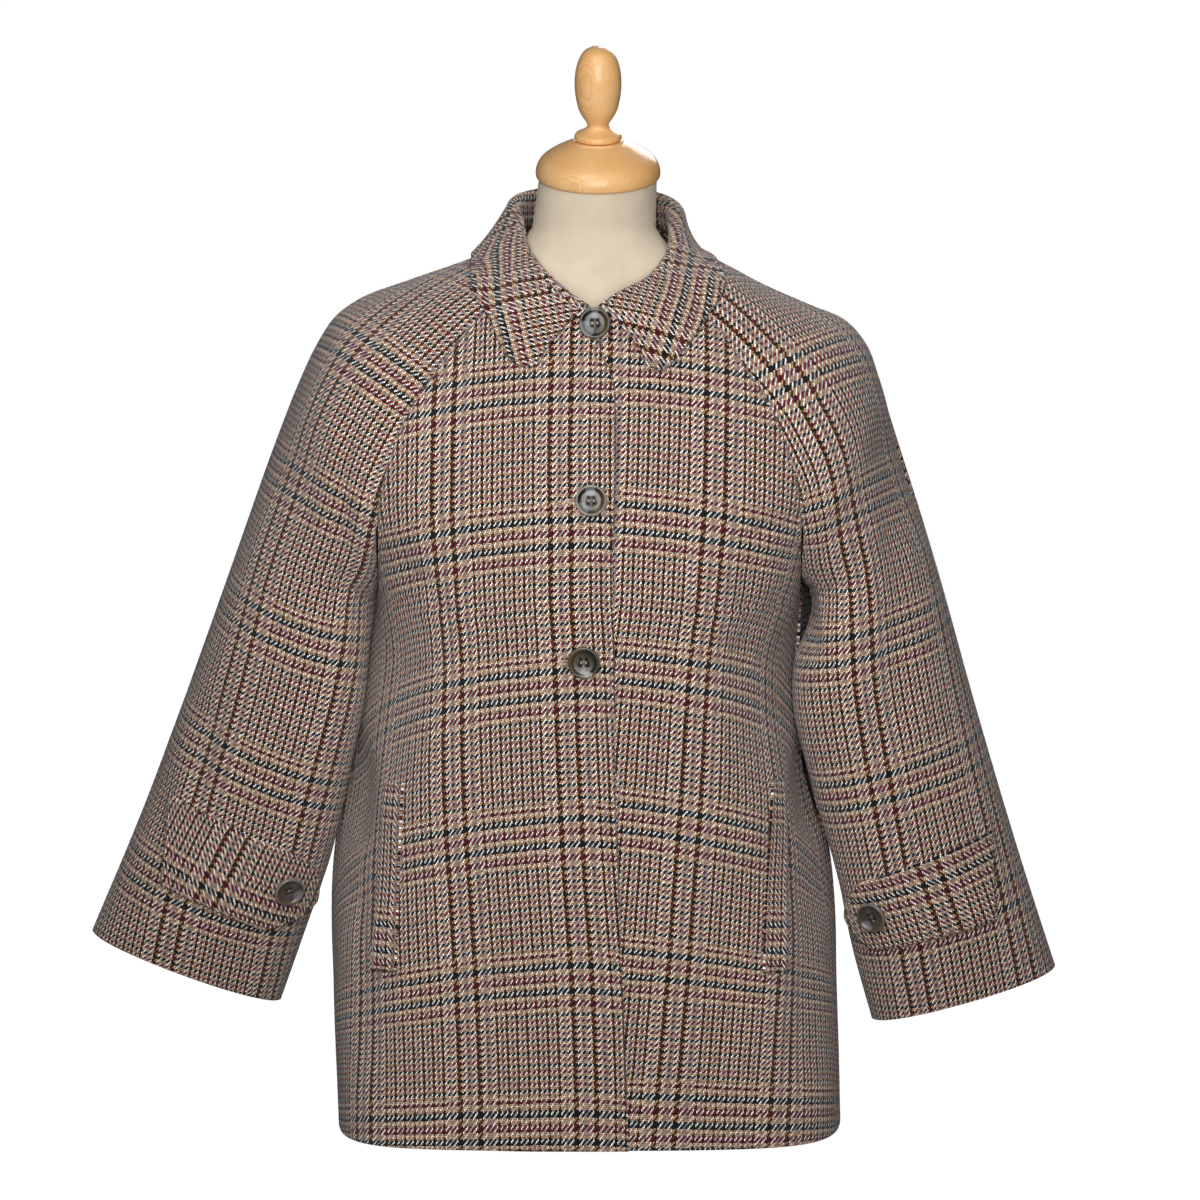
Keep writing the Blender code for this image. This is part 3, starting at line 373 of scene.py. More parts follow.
feed(twill, choose(twill, hidden, swollen, height), out["Height"])
print("twill group:", len(twill.nodes), "nodes")

# %% [markdown]
# ## Wool
# Carded wool is never one colour: each yarn mixes fibres, swells and thins, and a haze of
# loose fibres blurs the weave. A group called Mottle gives a soft uneven value at a named
# size; the tweed, the jersey, the horn and the wood all use it with their own sizes.

# %% Mottle group
mottle, given, out = new_group("Mottle", {"Vector": [0.0, 0.0, 0.0], "Size": 0.01, "Detail": 2.0, "Low": 0.0,
                                          "High": 1.0}, {"Value": "Float"})
uneven = noise(mottle, given["Vector"], calc(mottle, "DIVIDE", 1.0, given["Size"]), given["Detail"])
spread = mottle.nodes.new("ShaderNodeMapRange")
spread.inputs["From Min"].default_value = 0.25
spread.inputs["From Max"].default_value = 0.75
for value, socket in ((uneven, "Value"), (given["Low"], "To Min"), (given["High"], "To Max")):
    feed(mottle, value, spread.inputs[socket])
feed(mottle, spread.outputs["Result"], out["Value"])
print("mottle group:", len(mottle.nodes), "nodes")

# %% [markdown]
# ## The tweed
# The UV map gives the place on the flat cut in metres, so dividing it by the yarns' pitch counts yarns. The warp
# (up and down) is near-white, grey and brown-black; the weft (across) is camel, burgundy and blue-black. Painted
# shade darkens each yarn towards its edges and the ends of its floats, where it dips under its neighbours, and a
# random mottle varies the yarns' tone. A slow wobble keeps the lines from looking ruled, and a low sheen stands
# for the wool's nap.

# %% Tweed material
WARP_PITCH, WEFT_PITCH = 0.001013, 0.00129
WARP = {"Dark": srgb(26, 17, 15), "Light": srgb(253, 249, 243), "Accent": srgb(168, 166, 174)}
WEFT = {"Dark": srgb(8, 17, 21), "Light": srgb(204, 154, 110), "Accent": srgb(122, 22, 32)}
FIRST_WARP, FIRST_WEFT = 1.0, 1.0       # yarn counts at the centre line and at the pattern's foot

tweed, tree, tweed_shader = new_material("glen_check_tweed", 0.95, Sheen_Weight=0.25, Sheen_Roughness=0.5,
                                         Specular_IOR_Level=0.2)
map_node = tree.nodes.new("ShaderNodeUVMap")
map_node.uv_map = "cloth"
place = map_node.outputs["UV"]
wobble = tree.nodes.new("ShaderNodeTexNoise")
wobble.inputs["Scale"].default_value = 110.0
wobble.inputs["Detail"].default_value = 3.0
tree.links.new(place, wobble.inputs["Vector"])
drift = parts_of(tree, wobble.outputs["Color"])
u, v, _ = parts_of(tree, place)
u = calc(tree, "ADD", calc(tree, "DIVIDE", u, WARP_PITCH),
         calc(tree, "MULTIPLY_ADD", drift[0], 1.1, FIRST_WARP - 0.55))
v = calc(tree, "ADD", calc(tree, "DIVIDE", v, WEFT_PITCH),
         calc(tree, "MULTIPLY_ADD", drift[1], 1.1, FIRST_WEFT - 0.55))
weave = use_group(tree, twill, Across=u, Up=v, Warp_share=0.78)
warp_yarn = calc(tree, "FLOOR", u)
weft_yarn = calc(tree, "MULTIPLY", calc(tree, "ADD", calc(tree, "FLOOR", v), 1.0), -1.0)
warp_colour = use_group(tree, order, Yarn=warp_yarn, **WARP)["Color"]
weft_colour = use_group(tree, order, Yarn=weft_yarn, **WEFT)["Color"]
cloth_colour = blended(tree, weave["Warp on top"], weft_colour, warp_colour)
fibres = use_group(tree, mottle, Vector=combined(tree, u, v, 0.0), Size=0.7, Detail=2.0, Low=0.20, High=1.80)
nubs = use_group(tree, mottle, Vector=combined(tree, u, v, 5.0), Size=2.4, Detail=1.0, Low=0.50, High=1.50)
# painted shade: the weave's height darkens the colour in the gaps between yarns and at the ends of floats
painted_gap_shade = calc(tree, "MULTIPLY", calc(tree, "POWER", weave["Height"], 2.1), 1.42)
painted_shade_and_mottle = calc(tree, "MULTIPLY", painted_gap_shade, calc(tree, "MULTIPLY", fibres["Value"], nubs["Value"]))
# the yarn colour times the painted gap shade and the random fibre and nub mottle
cloth_colour = blended(tree, 1.0, cloth_colour, combined(tree, painted_shade_and_mottle, painted_shade_and_mottle, painted_shade_and_mottle), "MULTIPLY")
tree.links.new(cloth_colour, tweed_shader.inputs["Base Color"])
fuzz = noise(tree, combined(tree, u, v, 0.0), 2.2, 3.0)
raise_surface(tree, tweed_shader, calc(tree, "MULTIPLY_ADD", fuzz, 0.35, weave["Height"]), 0.0004)
print("tweed:", len(tree.nodes), "nodes")

# %% [markdown]
# ## Reading the jacket's tables
# A garment is described by few sizes: how far out a seam runs, how deep, how high, station by
# station. Stations go down the jacket: 0 at the neck seam, 1 at the underarm, 2 at the hem.
# The solids of the frame were worked out from such tables on coarse steps. Here the same
# tables are read on fine steps, so the cloth lies where its solid lies. A cubic curve through
# the rows of a table keeps the lines as soft as cloth is.

# %% A smooth curve through rows of sizes
LEFT, RIGHT = -1, 1                     # seen from the front: LEFT is the wearer's right side
FRONT, BACK = -1, 1


def smooth(keys, values, v):
    """Rows of values, given at keys, read at v on a smooth curve through them."""
    keys, values = np.asarray(keys, dtype=float), np.asarray(values, dtype=float)
    steps = np.diff(keys)[:, None]
    slopes = np.diff(values, axis=0) / steps
    bends = np.vstack([slopes[:1], slopes[-1:]])
    if len(keys) > 2:
        inner = (slopes[:-1] * steps[1:] + slopes[1:] * steps[:-1]) / (steps[1:] + steps[:-1])
        bends = np.vstack([slopes[:1], inner, slopes[-1:]])
    v = np.asarray(v, dtype=float)
    i = np.clip(np.searchsorted(keys, v, side="right") - 1, 0, len(keys) - 2)
    h = steps[i, 0][..., None]
    s = np.clip((v - keys[i])[..., None] / h, 0.0, 1.0)
    return ((2 * s**3 - 3 * s**2 + 1) * values[i] + (s**3 - 2 * s**2 + s) * h * bends[i]
            + (3 * s**2 - 2 * s**3) * values[i + 1] + (s**3 - s**2) * h * bends[i + 1])


def read(table, v):
    """Every column of a table at the stations v."""
    rows = np.array(table, dtype=float)
    return type(table[0])(*np.moveaxis(smooth(rows[:, 0], rows, v), -1, 0))


def ease(low, high, x):
    """0 below low, 1 above high, and a smooth slope between."""
    s = np.clip((x - low) / (high - low), 0.0, 1.0)
    return s * s * (3 - 2 * s)


# How far the jacket's centre line stands to the left of the form's, by height.
Sway = namedtuple("Sway", "v shift")
SWAY = [Sway(0.00, -0.0085), Sway(0.20, -0.0080), Sway(0.35, -0.0055), Sway(0.50, -0.0032),
        Sway(0.60, -0.0022), Sway(0.68, 0.0004), Sway(0.77, 0.0010)]
print("the centre line leans by", round(1000 * float(read(SWAY, 0.0).shift), 1), "mm at the hem")

# %% [markdown]
# ## Rows around the body
# Each row of the body is one soft curve from the centre line to a seam: straight across at
# first, then turning, then arriving at the raglan seam (above the underarm) or running
# straight back to the side seam (below it). Four control points say all of that, and the
# tables give those points for every station.

# %% Tables of the body
# Centre front and centre back: depth from the side plane, height, and how far the row runs
# straight across before it turns.
Centre = namedtuple("Centre", "v depth up reach")
CENTRE_FRONT = [
    Centre(0.00, 0.0850, 0.6730, 0.026), Centre(0.11, 0.0920, 0.6430, 0.040),
    Centre(0.30, 0.1090, 0.6030, 0.055), Centre(0.41, 0.1205, 0.5760, 0.062),
    Centre(0.51, 0.1320, 0.5430, 0.068), Centre(0.66, 0.1425, 0.4930, 0.084),
    Centre(0.87, 0.1490, 0.4490, 0.108), Centre(1.00, 0.1500, 0.4340, 0.118),
    Centre(1.30, 0.1510, 0.3080, 0.150), Centre(1.60, 0.1525, 0.1780, 0.160),
    Centre(2.00, 0.1530, 0.0080, 0.192)]
CENTRE_BACK = [
    Centre(0.00, 0.0740, 0.7390, 0.026), Centre(0.11, 0.0930, 0.7120, 0.042),
    Centre(0.30, 0.1110, 0.6640, 0.062), Centre(0.41, 0.1180, 0.6300, 0.072),
    Centre(0.51, 0.1230, 0.5900, 0.080), Centre(0.66, 0.1285, 0.5230, 0.092),
    Centre(0.87, 0.1315, 0.4600, 0.108), Centre(1.00, 0.1325, 0.4370, 0.114),
    Centre(1.30, 0.1370, 0.3090, 0.124), Centre(1.60, 0.1450, 0.1790, 0.134),
    Centre(2.00, 0.1600, 0.0080, 0.146)]

# Raglan seams, from the neck to the underarm: how far out, how deep, how high. body_in and
# body_on say how a body row arrives (towards the centre, away from the side plane).
# arm_out, arm_on and arm_up say how a sleeve row leaves.
Raglan = namedtuple("Raglan", "v out depth up body_in body_on arm_out arm_on arm_up")
RAGLAN_FRONT = [
    Raglan(0.00, 0.0550, 0.0560, 0.6940, 0.016, 0.018, 0.010, -0.018, 0.010),
    Raglan(0.11, 0.0870, 0.0690, 0.6725, 0.028, 0.014, 0.014, -0.004, 0.020),
    Raglan(0.30, 0.1275, 0.0920, 0.6215, 0.042, 0.013, 0.022, 0.000, 0.036),
    Raglan(0.41, 0.1480, 0.1030, 0.5890, 0.044, 0.014, 0.030, 0.002, 0.040),
    Raglan(0.51, 0.1610, 0.1090, 0.5530, 0.044, 0.018, 0.036, 0.006, 0.040),
    Raglan(0.59, 0.1680, 0.1080, 0.5260, 0.038, 0.028, 0.037, 0.014, 0.034),
    Raglan(0.66, 0.1705, 0.0990, 0.5010, 0.026, 0.034, 0.032, 0.028, 0.026),
    Raglan(0.74, 0.1705, 0.0820, 0.4790, 0.014, 0.042, 0.020, 0.044, 0.016),
    Raglan(0.87, 0.1715, 0.0430, 0.4520, 0.004, 0.073, 0.006, 0.077, 0.005),
    Raglan(1.00, 0.1725, 0.0000, 0.4350, 0.000, 0.112, 0.000, 0.113, 0.000)]
RAGLAN_BACK = [
    Raglan(0.00, 0.0480, 0.0560, 0.7330, 0.016, 0.016, 0.010, -0.018, -0.004),
    Raglan(0.11, 0.0790, 0.0730, 0.7030, 0.028, 0.016, 0.014, -0.006, 0.008),
    Raglan(0.30, 0.1210, 0.0930, 0.6500, 0.042, 0.014, 0.024, -0.002, 0.026),
    Raglan(0.41, 0.1420, 0.1010, 0.6120, 0.044, 0.014, 0.030, 0.002, 0.034),
    Raglan(0.51, 0.1570, 0.1050, 0.5720, 0.044, 0.018, 0.034, 0.006, 0.036),
    Raglan(0.59, 0.1640, 0.1030, 0.5410, 0.038, 0.028, 0.034, 0.014, 0.032),
    Raglan(0.66, 0.1672, 0.0950, 0.5120, 0.026, 0.032, 0.030, 0.028, 0.024),
    Raglan(0.74, 0.1688, 0.0790, 0.4860, 0.014, 0.038, 0.020, 0.043, 0.014),
    Raglan(0.87, 0.1702, 0.0420, 0.4550, 0.004, 0.063, 0.006, 0.073, 0.004),
    Raglan(1.00, 0.1725, 0.0000, 0.4350, 0.000, 0.098, 0.000, 0.108, 0.000)]

# Side seams, from the underarm to the hem: how far out on each side, height, and how long
# the row runs straight back to them from the front and from the back. tuck draws the row in
# towards the centre under the arm.
Side = namedtuple("Side", "v out_left out_right up front_on back_on tuck")
SIDE_SEAM = [
    Side(1.00, 0.1725, 0.1725, 0.4350, 0.112, 0.098, 0.000),
    Side(1.11, 0.1800, 0.1700, 0.3880, 0.113, 0.099, 0.032),
    Side(1.19, 0.1860, 0.1720, 0.3540, 0.118, 0.100, 0.036),
    Side(1.34, 0.1970, 0.1870, 0.2890, 0.124, 0.102, 0.034),
    Side(1.52, 0.2070, 0.2035, 0.2110, 0.118, 0.104, 0.024),
    Side(1.62, 0.2082, 0.2072, 0.1720, 0.122, 0.106, 0.008),
    Side(1.75, 0.2065, 0.2088, 0.1160, 0.126, 0.109, 0.000),
    Side(2.00, 0.2018, 0.2120, 0.0080, 0.140, 0.114, 0.000)]
print("body tables:", len(CENTRE_FRONT), "stations of the centre,", len(RAGLAN_FRONT), "of the raglan seam")

# %% Rows of the body


def points_of(out, depth, up):
    """Sizes as points: out from the centre line, depth with its sign, height."""
    return np.stack(np.broadcast_arrays(out, depth, up), axis=-1)


def placed(points, side):
    """Turn (out, depth, up) into x, y, z on one side of the jacket."""
    points = points.copy()
    points[..., 0] = read(SWAY, points[..., 2]).shift + side * points[..., 0]
    return points


def bezier(start, leave, arrive, end, t):
    """Points at t on cubic curves, one curve for each row of control points."""
    t = t[..., None]
    start, leave, arrive, end = (p[:, None, :] for p in (start, leave, arrive, end))
    return (1 - t)**3 * start + 3 * (1 - t)**2 * t * leave + 3 * (1 - t) * t**2 * arrive + t**3 * end


def body_rows(side, face, v, t):
    """Body rows at stations v, at shares t of the way from the centre to the seam."""
    centre = read(CENTRE_FRONT if face == FRONT else CENTRE_BACK, v)
    raglan = read(RAGLAN_FRONT if face == FRONT else RAGLAN_BACK, v)
    seam = read(SIDE_SEAM, v)
    out = seam.out_left if side == LEFT else seam.out_right
    on = seam.front_on if face == FRONT else seam.back_on
    tuck = seam.tuck if face == FRONT else 0.0
    start = points_of(0.0, face * centre.depth, centre.up)
    leave = points_of(centre.reach, face * centre.depth, centre.up)
    above = (v <= 1.0)[:, None]
    end = np.where(above, points_of(raglan.out, face * raglan.depth, raglan.up), points_of(out, 0.0, seam.up))
    arrive = np.where(above, points_of(raglan.out - raglan.body_in,
                                       face * (raglan.depth + raglan.body_on), raglan.up),
                      points_of(out - tuck, face * on, seam.up))
    return placed(bezier(start, leave, arrive, end, t), side)


def across_body(face, v, w):
    """Whole rows at w: -1 at the left seam, 0 at the centre, 1 at the right seam."""
    left = body_rows(LEFT, face, v, np.abs(w))
    right = body_rows(RIGHT, face, v, np.abs(w))
    return np.where((w > 0)[..., None], right, left)


def share_at(side, v, out):
    """The shares of the front rows at which they are out from the centre line."""
    low, high = np.zeros(len(v)), np.ones(len(v))
    for _ in range(24):
        middle = (low + high) / 2
        point = body_rows(side, FRONT, v, middle[:, None])[:, 0]
        short = np.abs(point[:, 0] - read(SWAY, point[:, 2]).shift) < out
        low, high = np.where(short, middle, low), np.where(short, high, middle)
    return low


waist = body_rows(LEFT, FRONT, np.array([1.5]), np.linspace(0, 1, 60)[None])
print("a front row at station 1.5 is",
      round(1000 * float(np.linalg.norm(np.diff(waist[0], axis=0), axis=1).sum())),
      "mm long")

# %% [markdown]
# ## Rows around the sleeves
# A raglan sleeve has no shoulder seam of its own: it runs up to the neck. It is cut in a front
# and a back half, joined over the arm and under it. A row starts over the arm and ends at the
# raglan seam, or, below the underarm, at the seam under the arm.

# %% Rows of the sleeves
# Over the arm, from the neck along the shoulder to the sleeve's hem: how far out and how
# high on each side, how far behind the side plane, and how long the row runs straight
# forward and straight back from it.
Over = namedtuple("Over", "v out_left up_left out_right up_right back_left back_right front_on back_on")
OVER_ARM = [
    Over(0.00, 0.0690, 0.7195, 0.0690, 0.7195, 0.000, 0.000, 0.022, 0.022),
    Over(0.11, 0.1080, 0.7060, 0.1010, 0.7065, 0.003, 0.003, 0.038, 0.040),
    Over(0.24, 0.1520, 0.6910, 0.1370, 0.6880, 0.005, 0.005, 0.050, 0.052),
    Over(0.36, 0.1930, 0.6750, 0.1760, 0.6710, 0.006, 0.006, 0.058, 0.058),
    Over(0.44, 0.2130, 0.6590, 0.2060, 0.6580, 0.006, 0.006, 0.064, 0.062),
    Over(0.50, 0.2245, 0.6400, 0.2215, 0.6415, 0.006, 0.006, 0.068, 0.066),
    Over(0.59, 0.2380, 0.6095, 0.2340, 0.6130, 0.007, 0.006, 0.076, 0.074),
    Over(0.70, 0.2510, 0.5760, 0.2455, 0.5770, 0.008, 0.007, 0.088, 0.084),
    Over(0.85, 0.2690, 0.5270, 0.2620, 0.5270, 0.009, 0.007, 0.103, 0.098),
    Over(1.00, 0.2865, 0.4765, 0.2785, 0.4765, 0.010, 0.008, 0.113, 0.108),
    Over(1.40, 0.3340, 0.3400, 0.3225, 0.3310, 0.013, 0.008, 0.104, 0.098),
    Over(1.70, 0.3700, 0.2420, 0.3560, 0.2260, 0.016, 0.007, 0.089, 0.080),
    Over(2.00, 0.4075, 0.1515, 0.3900, 0.1240, 0.019, 0.006, 0.068, 0.058)]

# Under the arm, from the underarm to the sleeve's hem, with the same kind of tuck as the body.
Under = namedtuple("Under", "v out_left up_left out_right up_right back_left back_right front_on back_on tuck")
UNDER_ARM = [
    Under(1.00, 0.1731, 0.4350, 0.1731, 0.4350, 0.000, 0.000, 0.113, 0.108, 0.000),
    Under(1.12, 0.1822, 0.3920, 0.1724, 0.3900, 0.002, 0.001, 0.111, 0.105, 0.028),
    Under(1.24, 0.1885, 0.3530, 0.1748, 0.3500, 0.004, 0.002, 0.108, 0.102, 0.044),
    Under(1.42, 0.2002, 0.2880, 0.1902, 0.2850, 0.007, 0.003, 0.103, 0.096, 0.044),
    Under(1.64, 0.2125, 0.2130, 0.2095, 0.2060, 0.011, 0.004, 0.092, 0.084, 0.024),
    Under(1.83, 0.2330, 0.1480, 0.2225, 0.1400, 0.015, 0.004, 0.080, 0.071, 0.004),
    Under(2.00, 0.2520, 0.0935, 0.2390, 0.0800, 0.018, 0.005, 0.066, 0.056, 0.000)]


def sleeve_rows(side, face, v, t):
    """Sleeve rows at stations v, at shares t of the way from over the arm to the seam."""
    over = read(OVER_ARM, v)
    under = read(UNDER_ARM, v)
    raglan = read(RAGLAN_FRONT if face == FRONT else RAGLAN_BACK, v)
    left = side == LEFT
    out, up, back = ((over.out_left, over.up_left, over.back_left) if left
                     else (over.out_right, over.up_right, over.back_right))
    on = over.front_on if face == FRONT else over.back_on
    start = points_of(out, back, up)
    leave = points_of(out, back + face * on, up)
    out, up, back = ((under.out_left, under.up_left, under.back_left) if left
                     else (under.out_right, under.up_right, under.back_right))
    on = under.front_on if face == FRONT else under.back_on
    tuck = under.tuck if face == FRONT else 0.0
    above = (v <= 1.0)[:, None]
    end = np.where(above, points_of(raglan.out, face * raglan.depth, raglan.up), points_of(out, back, up))
    arrive = np.where(above, points_of(raglan.out + raglan.arm_out, face * (raglan.depth + raglan.arm_on),
                                       raglan.up + raglan.arm_up),
                      points_of(out - tuck, back + face * on, up))
    return placed(bezier(start, leave, arrive, end, t), side)


cuff = sleeve_rows(LEFT, FRONT, np.array([2.0]), np.linspace(0, 1, 60)[None])
print("half a cuff is", round(1000 * float(np.linalg.norm(np.diff(cuff[0], axis=0), axis=1).sum())), "mm wide")

# %% [markdown]
# ## Sampling the cloth evenly
# A curve's own parameter bunches points where it bends. Cloth needs them at even distances,
# and closer together beside a seam, where the surface dips within a few millimetres. So each
# row is first walked in small steps, and then read at wanted lengths along it. Every point
# remembers how far it is from both edges, which places seams and stitches later.

# %% Even grids
STATIONS = np.concatenate([np.linspace(0, 1, 71), np.linspace(1, 2, 107)[1:]])
SEAM_MARKS = np.array([0.0, 0.0010, 0.0020, 0.0032, 0.0045, 0.0060, 0.0075, 0.0092, 0.0115])
UNDERLAP = 0.032          # how far the lower front runs on under the upper one, past the centre
LAP_FADE = 0.055          # past the lower front's edge, the upper front settles over this width
CLOTH = 0.0024            # thickness of the tweed with what backs it
LAYER_GAP = 0.0005        # between a piece and what lies on it

# The overlapping front's edge: how far right of the jacket's centre line, by station.
Lap = namedtuple("Lap", "v out")
LAP_EDGE = [Lap(0.00, 0.0035), Lap(0.10, 0.0065), Lap(0.24, 0.0178), Lap(0.45, 0.0205), Lap(0.72, 0.0187),
            Lap(1.20, 0.0225), Lap(1.55, 0.0290), Lap(2.00, 0.0365)]

Cloth = namedtuple("Cloth", "points from_first from_last stations")


def walked(points):
    """How far along its row each point lies."""
    steps = np.linalg.norm(np.diff(points, axis=1), axis=2)
    return np.pad(np.cumsum(steps, axis=1), ((0, 0), (1, 0)))


def even_cloth(rows_at, first, last, columns, stations=STATIONS):
    """Cloth between two edges, given as shares of the rows, with columns at even lengths."""
    first, last = np.broadcast_to(first, len(stations)), np.broadcast_to(last, len(stations))
    shares = first[:, None] + (last - first)[:, None] * np.linspace(0, 1, 301)
    far = walked(rows_at(stations, shares))
    whole = far[:, -1:]
    middle = SEAM_MARKS[-1] + (whole - 2 * SEAM_MARKS[-1]) * np.linspace(0, 1, columns)
    marks = np.hstack([np.tile(SEAM_MARKS[:-1], (len(far), 1)), middle, whole - SEAM_MARKS[:-1][::-1]])
    found = np.array([np.interp(m, f, s) for m, f, s in zip(marks, far, shares)])
    return Cloth(rows_at(stations, found), marks, whole - marks, stations)


def front_cloth(side):
    """One front: from its own seam, past the centre, to the edge where it laps or is lapped."""
    past = read(LAP_EDGE, STATIONS).out if side == LEFT else np.full(len(STATIONS), UNDERLAP)
    beyond = share_at(-side, STATIONS, past)
    return even_cloth(lambda v, w: across_body(FRONT, v, w), float(side), -side * beyond, 56)


def back_cloth():
    """The back, from the left seam to the right one."""
    return even_cloth(lambda v, w: across_body(BACK, v, w), -1.0, 1.0, 92)


def sleeve_cloth(side, face):
    """One half of a sleeve, from over the arm to the raglan seam and the seam under the arm."""
    return even_cloth(lambda v, w: sleeve_rows(side, face, v, w), 0.0, 1.0, 44)


cloths = {"front_right": front_cloth(LEFT), "front_left": front_cloth(RIGHT), "back": back_cloth()}
for side, wearer in ((LEFT, "right"), (RIGHT, "left")):
    for face, half in ((FRONT, "front"), (BACK, "back")):
        cloths[f"sleeve_{half}_{wearer}"] = sleeve_cloth(side, face)
for name, cloth in cloths.items():
    print(name, "is", round(1000 * float((cloth.from_first + cloth.from_last)[-1, 0])), "mm along its hem")

# %% [markdown]
# ## Which way is out
# A wall of cloth is its outer face and the same face moved in by its thickness, so every point
# needs a normal. The cross product of the two grid directions gives it. Where two pieces are
# sewn together they must agree about it, or the seam would show as a step. The upper front
# also has to climb over the lower one: it is lifted along its normal near the closing.

# %% Normals and the lap


def normals_of(grid, sign):
    """Unit normals of a grid of points, on the side that sign picks."""
    normal = sign * np.cross(np.gradient(grid, axis=1), np.gradient(grid, axis=0))
    return normal / np.linalg.norm(normal, axis=2, keepdims=True)


def lap_lift(stations, points):
    """How far the upper front stands off its rows, to lie on the lower front."""
    out = read(SWAY, points[..., 2]).shift - points[..., 0]
    flat = UNDERLAP + 0.004
    seam = np.where(stations <= 1.0, read(RAGLAN_FRONT, stations).out, 1.0)[:, None]
    return (CLOTH + LAYER_GAP) * (1 - ease(flat, np.minimum(flat + LAP_FADE, seam), out))


def share_normals(one, one_edge, other, other_edge, rows):
    """Give both pieces the same normals along a seam, unless the seam is folded shut."""
    a, b = one[rows, one_edge], other[rows, other_edge]
    agree = (a * b).sum(axis=1, keepdims=True) > 0.3
    middle = (a + b) / np.maximum(np.linalg.norm(a + b, axis=1, keepdims=True), 1e-9)
    one[rows, one_edge] = np.where(agree, middle, a)
    other[rows, other_edge] = np.where(agree, middle, b)


SIGNS = {"front_right": LEFT, "front_left": RIGHT, "back": 1,
         "sleeve_front_right": -LEFT * FRONT, "sleeve_back_right": -LEFT * BACK,
         "sleeve_front_left": -RIGHT * FRONT, "sleeve_back_left": -RIGHT * BACK}
normals = {name: normals_of(cloth.points, SIGNS[name]) for name, cloth in cloths.items()}
above, below, whole = STATIONS <= 1.0, STATIONS >= 1.0, STATIONS >= 0.0
for wearer, back_edge in (("right", 0), ("left", -1)):
    front, arm_front, arm_back = (normals[f"{part}_{wearer}"]
                                  for part in ("front", "sleeve_front", "sleeve_back"))
    share_normals(front, 0, arm_front, -1, above)
    share_normals(normals["back"], back_edge, arm_back, -1, above)
    share_normals(front, 0, normals["back"], back_edge, below)
    share_normals(arm_front, -1, arm_back, -1, below)
    share_normals(arm_front, 0, arm_back, 0, whole)
print("the lap lifts the upper front by", CLOTH + LAYER_GAP, "m")

# %% [markdown]
# ## Creases and seams as small moves along the normal
# Real tweed hangs in a few soft folds: where the sleeve meets the body, below the collar and down the flare of
# the skirt. A simulation would find its own folds, not the ones this jacket has, so they are placed one by one,
# each as a soft trough or ridge along a line, uneven in length, depth and width. A seam is a narrow groove with
# the turned edges lying under it as two low ridges, and a row of stitches pulls the cloth down a little beside
# it.

# %% Creases
# From one end to the other as seen from the front, in metres: x and height, then how deep
# (a negative depth is a ridge) and how wide.
Crease = namedtuple("Crease", "x1 z1 x2 z2 depth width")
CREASES = {
    "front_right": [
        Crease(-0.1514, 0.4774, -0.1498, 0.366, 0.0022, 0.014),
        Crease(-0.1498, 0.366, -0.1625, 0.2864, 0.003, 0.016),
        Crease(-0.1909, 0.3142, -0.1949, 0.2386, 0.009, 0.012),
        Crease(-0.1593, 0.4838, -0.1214, 0.436, 0.0022, 0.009),
        Crease(-0.0977, 0.2227, -0.104, 0.0794, 0.0022, 0.02),
        Crease(-0.1909, 0.2068, -0.183, 0.0635, 0.005, 0.016),
        Crease(-0.0266, 0.1431, -0.0171, 0.0555, 0.0018, 0.018),
    ],
    "front_left": [
        Crease(0.1219, 0.4774, 0.1172, 0.366, 0.0026, 0.014),
        Crease(0.1188, 0.366, 0.133, 0.2864, 0.003, 0.017),
        Crease(0.1725, 0.3142, 0.1804, 0.2466, 0.009, 0.012),
        Crease(0.159, 0.5092, 0.0966, 0.4838, 0.0024, 0.008),
        Crease(0.1567, 0.4456, 0.1156, 0.4058, 0.002, 0.009),
        Crease(0.1772, 0.2147, 0.1725, 0.0635, 0.0055, 0.016),
        Crease(0.0935, 0.2068, 0.1014, 0.0675, 0.0022, 0.02),
        Crease(0.0587, 0.5809, 0.065, 0.5092, 0.0012, 0.014),
    ],
    "sleeve_front_right": [
        Crease(-0.1909, 0.5952, -0.202, 0.5411, 0.0036, 0.009),
        Crease(-0.202, 0.5411, -0.1996, 0.4535, 0.0046, 0.009),
        Crease(-0.3142, 0.35, -0.3268, 0.2625, 0.004, 0.012),
        Crease(-0.232, 0.5252, -0.2699, 0.4535, 0.0018, 0.011),
        Crease(-0.262, 0.3978, -0.232, 0.4137, 0.0014, 0.008),
        Crease(-0.3505, 0.2864, -0.3584, 0.2466, 0.0028, 0.01),
    ],
    "sleeve_front_left": [
        Crease(0.1693, 0.4456, 0.1725, 0.3914, 0.012, 0.008),
        Crease(0.2294, 0.5729, 0.2444, 0.5411, 0.004, 0.012),
        Crease(0.2444, 0.5411, 0.2475, 0.4376, 0.0075, 0.017),
        Crease(0.2475, 0.4376, 0.246, 0.3325, 0.006, 0.018),
        Crease(0.193, 0.5092, 0.2025, 0.4456, 0.0018, 0.01),
        Crease(0.2657, 0.3102, 0.2854, 0.2545, 0.003, 0.013),
        Crease(0.1993, 0.4137, 0.2183, 0.3739, 0.0016, 0.009),
    ],
    "back": [
        Crease(-0.118, 0.500, -0.126, 0.300, 0.006, 0.015),
        Crease(0.126, 0.470, 0.119, 0.240, 0.005, 0.017),
        Crease(-0.045, 0.360, -0.058, 0.080, 0.0026, 0.020),
        Crease(0.052, 0.290, 0.066, 0.060, 0.0032, 0.018),
        Crease(-0.172, 0.210, -0.166, 0.070, 0.0050, 0.016),
    ],
    "sleeve_back_right": [
        Crease(-0.205, 0.560, -0.212, 0.450, 0.0046, 0.011),
        Crease(-0.282, 0.420, -0.262, 0.345, 0.0030, 0.012),
        Crease(-0.310, 0.320, -0.330, 0.255, 0.0026, 0.011),
    ],
    "sleeve_back_left": [
        Crease(0.212, 0.550, 0.222, 0.430, 0.0050, 0.012),
        Crease(0.262, 0.440, 0.250, 0.350, 0.0034, 0.014),
        Crease(0.300, 0.310, 0.322, 0.250, 0.0022, 0.011),
    ],
}

